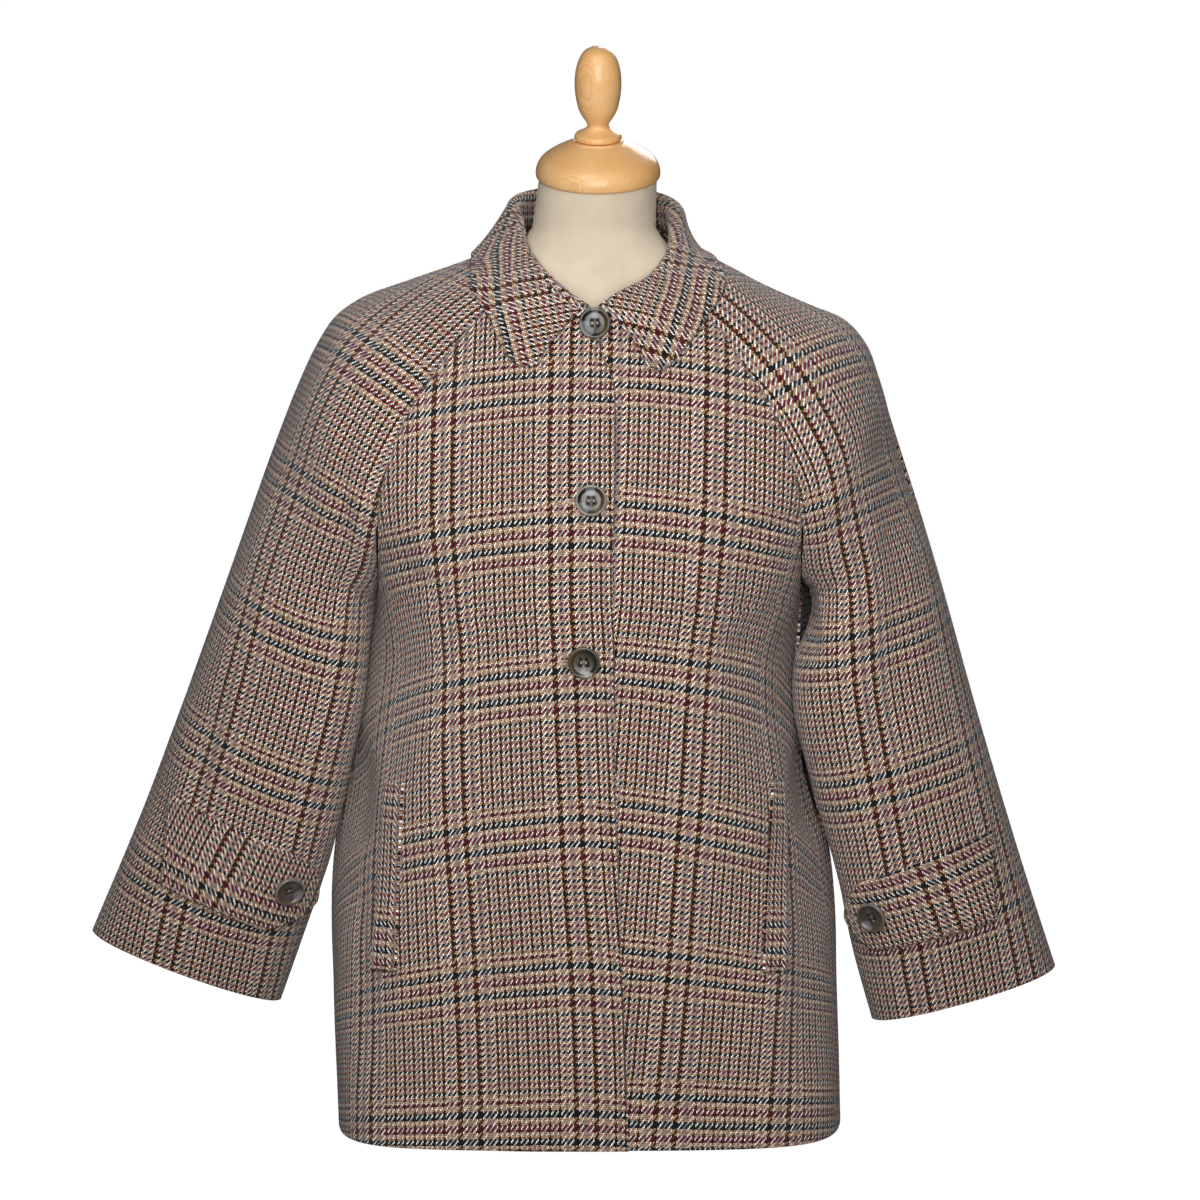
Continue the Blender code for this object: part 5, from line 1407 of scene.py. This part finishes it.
def swept(profile, sides):
    """Points and faces of a profile of radius and height swept round +Z."""
    verts, faces, rings = [], [], []
    for radius, height in profile:
        if radius == 0.0:
            rings.append([len(verts)])
            verts.append((0.0, 0.0, height))
            continue
        rings.append(list(range(len(verts), len(verts) + sides)))
        verts += [(radius * math.cos(2 * math.pi * k / sides), radius * math.sin(2 * math.pi * k / sides), height)
                  for k in range(sides)]
    for low, high in zip(rings, rings[1:]):
        for k in range(sides):
            n = (k + 1) % sides
            if len(low) == 1:
                faces.append((low[0], high[n], high[k]))
            elif len(high) == 1:
                faces.append((low[k], low[n], high[0]))
            else:
                faces.append((low[k], low[n], high[n], high[k]))
    if len(rings[0]) > 1:
        faces.append(tuple(reversed(rings[0])))
    if len(rings[-1]) > 1:
        faces.append(tuple(rings[-1]))
    return verts, faces


def new_piece(name, verts, faces, material, sharp=50):
    """A smooth-shaded object from points and faces."""
    mesh = bpy.data.meshes.new(name)
    mesh.from_pydata(verts, [], faces)
    mesh.materials.append(material)
    mesh.shade_smooth()
    mesh.set_sharp_from_angle(angle=math.radians(sharp))
    piece = bpy.data.objects.new(name, mesh)
    bpy.context.collection.objects.link(piece)
    return piece


def drilled_button():
    """The mesh of one button, its four holes cut through."""
    button = new_piece("button_blank", *swept(BUTTON, BUTTON_SIDES), beech)
    verts, faces = [], []
    for x, y in ((1, 1), (-1, 1), (-1, -1), (1, -1)):
        bit_verts, bit_faces = swept([Profile(HOLE_RADIUS, -0.01), Profile(HOLE_RADIUS, 0.01)], 16)
        first = len(verts)
        verts += [(a + x * HOLE_PITCH / 2, b + y * HOLE_PITCH / 2, c) for a, b, c in bit_verts]
        faces += [tuple(first + i for i in face) for face in bit_faces]
    bits = new_piece("button_drill", verts, faces, beech)
    cut = button.modifiers.new("holes", "BOOLEAN")
    cut.operation = "DIFFERENCE"
    cut.object = bits
    bpy.context.view_layer.update()
    shaped = bpy.data.meshes.new_from_object(button.evaluated_get(bpy.context.evaluated_depsgraph_get()))
    for item in (button, bits):
        bpy.data.objects.remove(item, do_unlink=True)
    return shaped


button_mesh = drilled_button()
print("a button has", len(button_mesh.polygons), "faces")

# %% [markdown]
# ## Horn
# Horn is grown in layers, dark brown with clouds of smoky grey where the light comes through,
# and every slice shows other clouds. So the cloud pattern is a node group and each button is a
# material of its own with its own values: where the pale lobe lies, which way the pale wedge
# runs from the middle, and how strong the amber rings are. Places are in parts of the button's
# radius, read from the object's own coordinates, so the pattern stays with the button.

# %% Horn group and materials
clouds, given, out = new_group("Horn clouds", {
    "Lobe": [0.0, 0.0, 0.0], "Lobe size": 0.5, "Wedge": [0.0, 1.0, 0.0], "Wedge width": 0.3, "Wedge share": 1.0,
    "Amber": [1.0, 0.0, 0.0], "Amber share": 0.5, "Dark": (0.02, 0.015, 0.01, 1.0),
    "Pale": (0.3, 0.3, 0.28, 1.0), "Rim share": 0.6}, {"Color": "Color", "Rings": "Float"})
spot = clouds.nodes.new("ShaderNodeTexCoord").outputs["Object"]


def vector_math(tree, operation, one, two):
    """A Vector Math node's outputs: the vector and the number."""
    node = tree.nodes.new("ShaderNodeVectorMath")
    node.operation = operation
    feed(tree, one, node.inputs[0])
    feed(tree, two, node.inputs["Scale"] if operation == "SCALE" else node.inputs[1])
    return node.outputs


spot = vector_math(clouds, "SCALE", spot, 1 / 0.0127)["Vector"]
ripple = calc(clouds, "MULTIPLY_ADD", noise(clouds, spot, 2.6, 3.0), 0.7, -0.35)
x, y, _ = parts_of(clouds, spot)
flat_spot = combined(clouds, x, y)
far_out = vector_math(clouds, "DISTANCE", flat_spot, (0, 0, 0))["Value"]
lobe = calc(clouds, "ADD", vector_math(clouds, "DISTANCE", flat_spot, given["Lobe"])["Value"],
            calc(clouds, "MULTIPLY", ripple, 0.5))
lobe = calc(clouds, "SUBTRACT", lobe, given["Lobe size"])
lobe = calc(clouds, "SUBTRACT", 1.0, stepped(clouds, lobe, -0.05, 0.08))
along_wedge = vector_math(clouds, "DOT_PRODUCT", flat_spot, given["Wedge"])["Value"]
beside_wedge = calc(clouds, "SQRT", calc(clouds, "MAXIMUM", calc(clouds, "SUBTRACT", calc(
    clouds, "MULTIPLY", far_out, far_out), calc(clouds, "MULTIPLY", along_wedge, along_wedge)), 0.0))
wedge = calc(clouds, "SUBTRACT", 1.0, stepped(clouds, calc(clouds, "SUBTRACT", calc(
    clouds, "ADD", beside_wedge, calc(clouds, "MULTIPLY", ripple, 0.35)), given["Wedge width"]), -0.05, 0.1))
wedge = calc(clouds, "MULTIPLY", calc(clouds, "MULTIPLY", wedge, stepped(clouds, along_wedge, -0.45, -0.1)),
             given["Wedge share"])
pale = calc(clouds, "MAXIMUM", lobe, wedge)
rings = calc(clouds, "MULTIPLY_ADD", calc(clouds, "SINE", calc(clouds, "MULTIPLY", calc(
    clouds, "MULTIPLY_ADD", ripple, 0.35, far_out), 26.0)), 0.5, 0.5)
amber_side = stepped(clouds, vector_math(clouds, "DOT_PRODUCT", flat_spot, given["Amber"])["Value"], 0.0, 0.7)
amber = calc(clouds, "MULTIPLY", calc(clouds, "MULTIPLY", rings, amber_side), given["Amber share"])
colour = blended(clouds, amber, given["Dark"], (0.17, 0.10, 0.028, 1))
pale_mottle = use_group(clouds, mottle, Vector=spot, Size=0.16, Detail=3.0, Low=0.7, High=1.12)["Value"]
pale_grey = combined(clouds, pale_mottle, pale_mottle, pale_mottle)
pale_colour = blended(clouds, 1.0, given["Pale"], pale_grey, "MULTIPLY")
colour = blended(clouds, pale, colour, pale_colour)
rim = calc(clouds, "MULTIPLY", stepped(clouds, far_out, 0.83, 0.93), given["Rim share"])
feed(clouds, blended(clouds, rim, colour, (0.42, 0.38, 0.32, 1)), out["Color"])
feed(clouds, rings, out["Rings"])

HORN = {
    "button_top": dict(Lobe=(-0.62, -0.42, 0), Lobe_size=0.52, Wedge=(0.0, 1.0, 0), Wedge_width=0.20,
                       Wedge_share=0.85, Amber=(1.0, -0.2, 0), Amber_share=0.55, Dark=(0.012, 0.011, 0.008, 1),
                       Pale=(0.17, 0.18, 0.175, 1), Rim_share=0.15),
    "button_middle": dict(Lobe=(-0.62, -0.55, 0), Lobe_size=0.42, Wedge=(-0.05, 1.0, 0), Wedge_width=0.27,
                          Wedge_share=1.0, Amber=(0.8, -0.6, 0), Amber_share=0.75, Dark=(0.018, 0.014, 0.010, 1),
                          Pale=(0.17, 0.165, 0.155, 1), Rim_share=0.45),
    "button_low": dict(Lobe=(0.28, -0.80, 0), Lobe_size=0.26, Wedge=(0.0, -1.0, 0), Wedge_width=0.12,
                       Wedge_share=0.5, Amber=(-0.9, 0.4, 0), Amber_share=0.6, Dark=(0.020, 0.016, 0.009, 1),
                       Pale=(0.33, 0.31, 0.28, 1), Rim_share=0.10),
    "cuff_button_right": dict(Lobe=(0.55, -0.55, 0), Lobe_size=0.40, Wedge=(0.7, 0.7, 0), Wedge_width=0.16,
                              Wedge_share=0.35, Amber=(-0.7, -0.5, 0), Amber_share=0.35,
                              Dark=(0.075, 0.062, 0.055, 1), Pale=(0.21, 0.19, 0.20, 1), Rim_share=0.35),
    "cuff_button_left": dict(Lobe=(-0.60, -0.50, 0), Lobe_size=0.36, Wedge=(0.0, 1.0, 0), Wedge_width=0.14,
                             Wedge_share=0.25, Amber=(0.8, -0.6, 0), Amber_share=0.5,
                             Dark=(0.058, 0.052, 0.048, 1), Pale=(0.20, 0.19, 0.18, 1), Rim_share=0.3)}


def horn_material(name):
    """The horn of one button."""
    made, tree, shader = new_material("horn_" + name, 0.28, Specular_IOR_Level=0.5, Coat_Weight=0.25,
                                      Coat_Roughness=0.12)
    pattern = use_group(tree, clouds, **HORN[name])
    tree.links.new(pattern["Color"], shader.inputs["Base Color"])
    raise_surface(tree, shader, pattern["Rings"], 0.00003)
    return made


print("horn:", len(HORN), "buttons, each with its own clouds")

# %% Buttons in place
FRONT_BUTTON_STATIONS = (0.038, 0.562, 1.107)
FRONT_BUTTON_OUT = (0.0008, 0.0005, -0.0033)     # from the jacket's centre line


def standing(point, normal, up=(0, 0, 1)):
    """The placement that turns +Z to a surface's normal at a point of it."""
    z = Vector(normal).normalized()
    x = Vector(up).cross(z).normalized()
    y = z.cross(x)
    return Matrix.Translation(Vector(point)) @ Matrix((x, y, z)).transposed().to_4x4()


def sew_on(name, point, normal, turn=0.0):
    """Put one button on a surface, a hair off it, turned about its own axis."""
    button = bpy.data.objects.new("horn_" + name, button_mesh.copy())
    button.data.materials.clear()
    button.data.materials.append(horn_material(name))
    button.matrix_world = standing(point + normal * LAYER_GAP, normal) @ Matrix.Rotation(
        math.radians(turn), 4, "Z")
    bpy.context.collection.objects.link(button)
    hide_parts(name)
    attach(button, "root")
    return button


buttons = {}
for name, v, out in zip(("button_top", "button_middle", "button_low"), FRONT_BUTTON_STATIONS, FRONT_BUTTON_OUT):
    side = RIGHT if out > 0 else LEFT
    share = max(float(share_at(side, np.array([v]), abs(out))[0]), 0.004)
    point, normal = (a[0, 0] for a in surface_at(body_rows, side, [v], [[share]], -1))
    buttons[name] = sew_on(name, point + normal * (CLOTH + LAYER_GAP), normal)
for side, wearer in ((LEFT, "right"), (RIGHT, "left")):
    v, t = CUFF_BUTTON[side]
    point, normal = (a[0, 0] for a in surface_at(sleeve_rows, side, [v], [[t]], 1))
    raised = point + normal * (LAYER_GAP + TAB_THICK + TAB_LOFT)
    buttons["cuff_button_" + wearer] = sew_on("cuff_button_" + wearer, raised,
                                              normal, 17)
print("buttons:", len(buttons))

# %% [markdown]
# ## Thread
# A row of stitches is one joined mesh of small capsules, each a stitch that stands a hair out
# of its groove. They follow lines that the garment already has: a fixed way in from an edge.
# The same capsules, laid side by side, make the stitched ends of the buttonholes and the bars of thread that hold
# the buttons. In a near-black colour they also paint shadow: a line along each buttonhole's slit, and a shank of
# thread under each button, coloured near-black as painted shadow so that the button's holes look dark.

# %% Stitch maker
STITCH_PITCH, STITCH_LONG, STITCH_THICK = 0.0033, 0.0024, 0.0005
CAPSULE = [Profile(0.15, -1.0), Profile(0.8, -0.75), Profile(1.0, 0.0), Profile(0.8, 0.75), Profile(0.15, 1.0)]
CAPSULE_SIDES = 6


def thread_material(name, colour):
    """Spun thread of one colour, with a little unevenness."""
    made, tree, shader = new_material(name, 0.65, Sheen_Weight=0.2, Specular_IOR_Level=0.3)
    spot = tree.nodes.new("ShaderNodeTexCoord").outputs["Object"]
    uneven = use_group(tree, mottle, Vector=spot, Size=0.0012, Detail=2.0, Low=0.75, High=1.2)["Value"]
    tree.links.new(blended(tree, 1.0, colour, combined(tree, uneven, uneven, uneven), "MULTIPLY"),
                   shader.inputs["Base Color"])
    raise_surface(tree, shader, uneven, 0.0001)
    return made


def capsules(name, centres, along, out, long, thick, material):
    """One mesh of capsules: their centres, directions, outward directions and sizes."""
    along = along / np.linalg.norm(along, axis=1, keepdims=True)
    side = np.cross(out, along)
    side /= np.linalg.norm(side, axis=1, keepdims=True)
    up = np.cross(along, side)
    verts, faces = [], []
    for profile in CAPSULE:
        for k in range(CAPSULE_SIDES):
            a = 2 * math.pi * k / CAPSULE_SIDES
            ring = (side * math.cos(a) + up * math.sin(a)) * (profile.radius * thick / 2)
            verts.append(centres + along * (profile.height * long / 2) + ring)
    verts = np.stack(verts, axis=1)
    count, n = verts.shape[1], CAPSULE_SIDES
    one = [[r * n + k, r * n + (k + 1) % n, (r + 1) * n + (k + 1) % n, (r + 1) * n + k]
           for r in range(len(CAPSULE) - 1) for k in range(n)]
    for first in np.arange(len(centres)) * count:
        faces += [[first + i for i in face] for face in one]
        faces += [[first + i for i in reversed(range(n))], [first + count - n + i for i in range(n)]]
    piece = new_piece(name, verts.reshape(-1, 3).tolist(), [[int(i) for i in face] for face in faces], material)
    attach(piece, "root")
    return piece


def row_of_stitches(name, path, out, material, lift=0.0001):
    """Stitches one after the other along a path on the cloth."""
    far = np.pad(np.cumsum(np.linalg.norm(np.diff(path, axis=0), axis=1)), (1, 0))
    wanted = np.arange(STITCH_PITCH, far[-1] - STITCH_PITCH, STITCH_PITCH)
    at = np.stack([np.interp(wanted, far, path[:, k]) for k in range(3)], axis=1)
    ahead = np.stack([np.interp(wanted + 0.0008, far, path[:, k]) for k in range(3)], axis=1)
    face = np.stack([np.interp(wanted, far, out[:, k]) for k in range(3)], axis=1)
    face /= np.linalg.norm(face, axis=1, keepdims=True)
    return capsules(name, at + face * lift, ahead - at, face, STITCH_LONG, STITCH_THICK, material)


def line_in(grid, normal, end, inset):
    """The path that runs a fixed way in from the first or the last column of a grid."""
    far = walked(grid)
    wanted = np.full(len(grid), inset) if end == "first" else far[:, -1] - inset
    pick = [[[np.interp(w, f, row[:, k]) for k in range(3)] for w, f, row in zip(wanted, far, data)]
            for data in (grid, normal)]
    return np.array(pick[0]), np.array(pick[1])


seam_thread = thread_material("tonal_thread", srgb(122, 92, 80))
above = STATIONS <= 0.97
stitched = []
for name, end, rows in (("front_right", "last", slice(None)), ("front_right", "first", above),
                        ("front_left", "first", above), ("back", "first", above), ("back", "last", above)):
    cloth = cloths[name]
    here = rows if isinstance(rows, slice) else cloth.stations <= 0.97
    path, face = line_in(dressed[name][here], normals[name][here], end, STITCH_IN)
    stitched.append(row_of_stitches("stitches_" + name + "_" + end, path, face, seam_thread))
path, face = line_in(collar_face[2:-2], collar_normal[2:-2], "last", STITCH_IN)
stitched.append(row_of_stitches("stitches_collar", path, face, seam_thread))
for name, (piece, under, uv) in strips.items():
    out = normals_of(under, 1)
    thick = TAB_THICK + TAB_LOFT if name.startswith("tab") else WELT_THICK
    toward = out if (out[10, 5] @ np.array([0, -1.0, 0])) > 0 else -out
    top = under + toward * thick
    if name.startswith("tab"):
        around = [(r, 2) for r in range(57)] + [(56, k) for k in range(3, 19)]
        around += [(r, 18) for r in range(55, -1, -1)]
    else:
        around = [(r, 1) for r in range(2, 52)] + [(51, k) for k in range(2, 12)]
    path = np.array([top[r, k] for r, k in around])
    face = np.array([toward[r, k] for r, k in around])
    stitched.append(row_of_stitches("stitches_" + name, path, face, seam_thread))
print("stitches:", sum(len(piece.data.polygons) for piece in stitched), "faces in", len(stitched), "rows")

# %% Buttonholes and button threads
HOLE_FROM, HOLE_TO, HOLE_STITCH = 0.004, -0.0195, 0.0011      # from a button's centre, along the row
bound_thread = thread_material("buttonhole_thread", srgb(206, 172, 156))
dark_thread = thread_material("cuff_thread", srgb(84, 24, 28))
# painted shadow: a near-black colour for the buttonhole slits and the shanks under the buttons
painted_shadow_thread = thread_material("slit_shadow", srgb(30, 22, 20))
for name in ("button_middle", "button_low"):
    place = buttons[name].matrix_world
    right, upward, out = (np.array(place.col[k][:3]) for k in range(3))
    centre = np.array(place.translation) - out * (LAYER_GAP + 0.0001)
    x = np.arange(HOLE_TO + 0.002, HOLE_FROM, 0.00062)
    spots = [(a, side * 0.0011, 90) for a in x for side in (-1, 1)]
    spots += [(HOLE_TO + 0.002 - 0.0013 * math.sin(a), 0.0013 * math.cos(a), 90 + math.degrees(a))
              for a in np.linspace(0.3, math.pi - 0.3, 8)]
    spots = np.array(spots)
    centres = centre + spots[:, :1] * right + spots[:, 1:2] * upward
    turn = np.radians(spots[:, 2:])
    along = np.cos(turn) * right + np.sin(turn) * upward
    surface = np.repeat(out[None], len(spots), axis=0)
    capsules("stitched_hole_" + name, centres, along, surface, 0.0021, 0.0006, bound_thread)
    # painted shadow: a dark capsule along the buttonhole's slit, where the cut only holds shade
    slit = np.array([(HOLE_TO + HOLE_FROM) / 2])
    capsules("slit_" + name, centre + slit[:, None] * right, right[None], out[None],
             HOLE_FROM - HOLE_TO - 0.004, 0.0009, painted_shadow_thread)
for name, button in buttons.items():
    place = button.matrix_world
    right, upward, out = (np.array(place.col[k][:3]) for k in range(3))
    centre = np.array(place.translation) + out * 0.0031
    spots = np.array([(side * HOLE_PITCH / 2 + strand, 0.0) for side in (-1, 1)
                      for strand in (-0.00025, 0.00025)])
    centres = centre + spots[:, :1] * right
    ups, outs = (np.repeat(way[None], len(spots), axis=0) for way in (upward, out))
    capsules("thread_" + name, centres, ups, outs, HOLE_PITCH - 0.0014, 0.0005,
             dark_thread if name.startswith("cuff") else bound_thread)
    # a shank of thread under the button, in the painted-shadow colour so that the button's holes look dark
    wound = centre - out * 0.0028 + np.array([[-0.0022], [0.0], [0.0022]]) * right
    capsules("shank_" + name, wound, ups[:3], outs[:3], 0.0085, 0.0026, painted_shadow_thread)
print("buttonholes and threads done")

# %% [markdown]
# ## The form under the jacket
# A limbless form carries the jacket: a padded torso covered in cream jersey that ends at the
# neck, where a wooden cap closes it. Only the neck shows, but the whole torso is here, because
# the jacket may be looked into from below. It is the frame's torso on finer rings, a shade
# smaller so that its round sides stay within the solid's flat ones.

# %% Torso
Ring = namedtuple("Ring", "v wide front back square")
TORSO = [
    Ring(0.085, 0.146, 0.098, 0.104, 2.4), Ring(0.140, 0.150, 0.101, 0.109, 2.4),
    Ring(0.215, 0.143, 0.098, 0.100, 2.4), Ring(0.290, 0.124, 0.091, 0.084, 2.3),
    Ring(0.340, 0.117, 0.088, 0.077, 2.2), Ring(0.400, 0.124, 0.094, 0.083, 2.2),
    Ring(0.460, 0.136, 0.112, 0.092, 2.2), Ring(0.510, 0.144, 0.123, 0.098, 2.2),
    Ring(0.555, 0.150, 0.116, 0.102, 2.3), Ring(0.600, 0.158, 0.100, 0.104, 2.5),
    Ring(0.635, 0.168, 0.084, 0.096, 2.5), Ring(0.6554, 0.174, 0.074, 0.088, 2.3),
    Ring(0.6674, 0.170, 0.066, 0.081, 2.2), Ring(0.6774, 0.152, 0.060, 0.075, 2.1),
    Ring(0.6874, 0.128, 0.054, 0.069, 2.0), Ring(0.6984, 0.101, 0.049, 0.063, 2.0),
    Ring(0.7094, 0.077, 0.046, 0.058, 2.0), Ring(0.7214, 0.060, 0.045, 0.053, 2.0),
    Ring(0.735, 0.0505, 0.0455, 0.049, 2.0)]
NECK_TILT = math.radians(13.5)        # the neck plate leans to the front
NECK_TOP = Vector((0.0034, -0.006, 0.7753))
NECK_RADIUS = 0.0480
TORSO_SIDES, TORSO_ROWS, NECK_ROWS = 96, 90, 10
INSIDE = 0.995            # a round ring within the solid's many-sided one

# %% Jersey material
WALE, COURSE = 0.0013, 0.0010            # a knitted rib across, and a row of loops up
jersey, tree, jersey_shader = new_material("cream_jersey", 0.92, Sheen_Weight=0.15, Specular_IOR_Level=0.2)
spot = tree.nodes.new("ShaderNodeTexCoord").outputs["Object"]
x, y, z = parts_of(tree, spot)
around = calc(tree, "MULTIPLY", calc(tree, "ARCTAN2", y, x), NECK_RADIUS / WALE)
rib = calc(tree, "ABSOLUTE", calc(tree, "SUBTRACT", calc(tree, "FRACT", around), 0.5))
loop = calc(tree, "FRACT", calc(tree, "ADD", calc(tree, "DIVIDE", z, COURSE), rib))
stitch = calc(tree, "MULTIPLY", calc(tree, "SUBTRACT", 1.0, rib), calc(tree, "SINE", calc(
    tree, "MULTIPLY", loop, math.pi)))
knit_shade = use_group(tree, mottle, Vector=spot, Size=0.02, Detail=3.0, Low=0.93, High=1.05)["Value"]
knit_shade = calc(tree, "MULTIPLY", knit_shade, calc(tree, "MULTIPLY_ADD", stitch, 0.22, 0.83))
tree.links.new(blended(tree, 1.0, srgb(243, 226, 200), combined(tree, knit_shade, knit_shade, knit_shade),
                       "MULTIPLY"), jersey_shader.inputs["Base Color"])
raise_surface(tree, jersey_shader, stitch, 0.0003)
print("jersey: ribs", WALE, "m apart")

# %% Torso shape
angles = 2 * math.pi * np.arange(TORSO_SIDES) / TORSO_SIDES
heights = np.linspace(TORSO[0].v, TORSO[-1].v, TORSO_ROWS)
ring = read(TORSO, heights)
c, s = np.cos(angles), np.sin(angles)
power = 2 / ring.square[:, None]
x = ring.wide[:, None] * np.sign(c) * np.abs(c)**power
y = np.where(s < 0, ring.front[:, None], ring.back[:, None]) * np.sign(s) * np.abs(s)**power
torso = np.stack([INSIDE * x, INSIDE * y, np.broadcast_to(heights[:, None], x.shape)], axis=2)
lean = np.array(Matrix.Rotation(NECK_TILT, 3, "X"))
plate = np.stack([NECK_RADIUS * INSIDE * c, NECK_RADIUS * INSIDE * s, 0 * c], axis=1)
plate = plate @ lean.T + np.array(NECK_TOP)
neck = torso[-1] + (plate - torso[-1]) * np.linspace(0, 1, NECK_ROWS + 1)[1:, None, None]
torso = np.concatenate([torso, neck])
number = np.arange(torso.shape[0] * TORSO_SIDES).reshape(-1, TORSO_SIDES)
faces = np.stack([number[:-1], np.roll(number[:-1], -1, 1), np.roll(number[1:], -1, 1), number[1:]], axis=2)
form = new_piece("form_jersey", torso.reshape(-1, 3).tolist(),
                 faces.reshape(-1, 4).tolist() + [number[0][::-1].tolist(), number[-1].tolist()], jersey, 60)
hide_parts("form_torso")
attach(form, "root")
print("torso:", len(form.data.polygons), "faces")

# %% Turned profiles
Turned = namedtuple("Turned", "radius height")
CAP = [Turned(0.0000, 0.0000), Turned(0.0484, 0.0000), Turned(0.0500, 0.0014), Turned(0.0506, 0.0044),
       Turned(0.0498, 0.0097), Turned(0.0465, 0.0157), Turned(0.0395, 0.0213), Turned(0.0308, 0.0262),
       Turned(0.0245, 0.0291), Turned(0.0206, 0.0308), Turned(0.0203, 0.0316), Turned(0.0000, 0.0316)]
FINIAL = [Turned(0.0000, 0.0000), Turned(0.0176, 0.0000), Turned(0.0189, 0.0009), Turned(0.0190, 0.0036),
          Turned(0.0184, 0.0048), Turned(0.0158, 0.0064), Turned(0.0124, 0.0081), Turned(0.0100, 0.0098),
          Turned(0.0087, 0.0120), Turned(0.0091, 0.0140), Turned(0.0107, 0.0166), Turned(0.0134, 0.0208),
          Turned(0.0156, 0.0253), Turned(0.0173, 0.0318), Turned(0.0186, 0.0401), Turned(0.0189, 0.0472),
          Turned(0.0184, 0.0557), Turned(0.0170, 0.0623), Turned(0.0148, 0.0682), Turned(0.0110, 0.0738),
          Turned(0.0062, 0.0766), Turned(0.0000, 0.0772)]
SEAM_GAP = 0.0003         # between the form and the wood on it
TURNED_SIDES = 96


def fine_profile(profile, per_step=5):
    """A profile with its middle on a smooth curve; its flat ends stay as they are."""
    body = np.array(profile[1:-1], dtype=float)
    far = np.concatenate([[0], np.cumsum(np.linalg.norm(np.diff(body, axis=0), axis=1))])
    spans = [np.linspace(a, b, per_step, endpoint=False) for a, b in zip(far, far[1:])]
    at = np.concatenate(spans + [[far[-1]]])
    curve = smooth(far, body, at)
    return [profile[0]] + [Turned(float(r), float(h)) for r, h in curve] + [profile[-1]]


lean_matrix = Matrix.Translation(NECK_TOP) @ Matrix.Rotation(NECK_TILT, 4, "X")
for name, node, profile, rise in (("wood_cap", "neck_cap", CAP, SEAM_GAP),
                                  ("wood_finial", "finial", FINIAL, CAP[-1].height + 2 * SEAM_GAP)):
    piece = new_piece(name, *swept(fine_profile(profile), TURNED_SIDES), beech, 40)
    piece.matrix_world = lean_matrix @ Matrix.Translation((0, 0, rise))
    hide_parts(node)
    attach(piece, "root")
    print(name, len(piece.data.polygons), "faces")
for node in ("column", "base"):
    stand_piece = frame["nodes"][node]
    stand_piece.data.materials.clear()
    stand_piece.data.materials.append(beech)
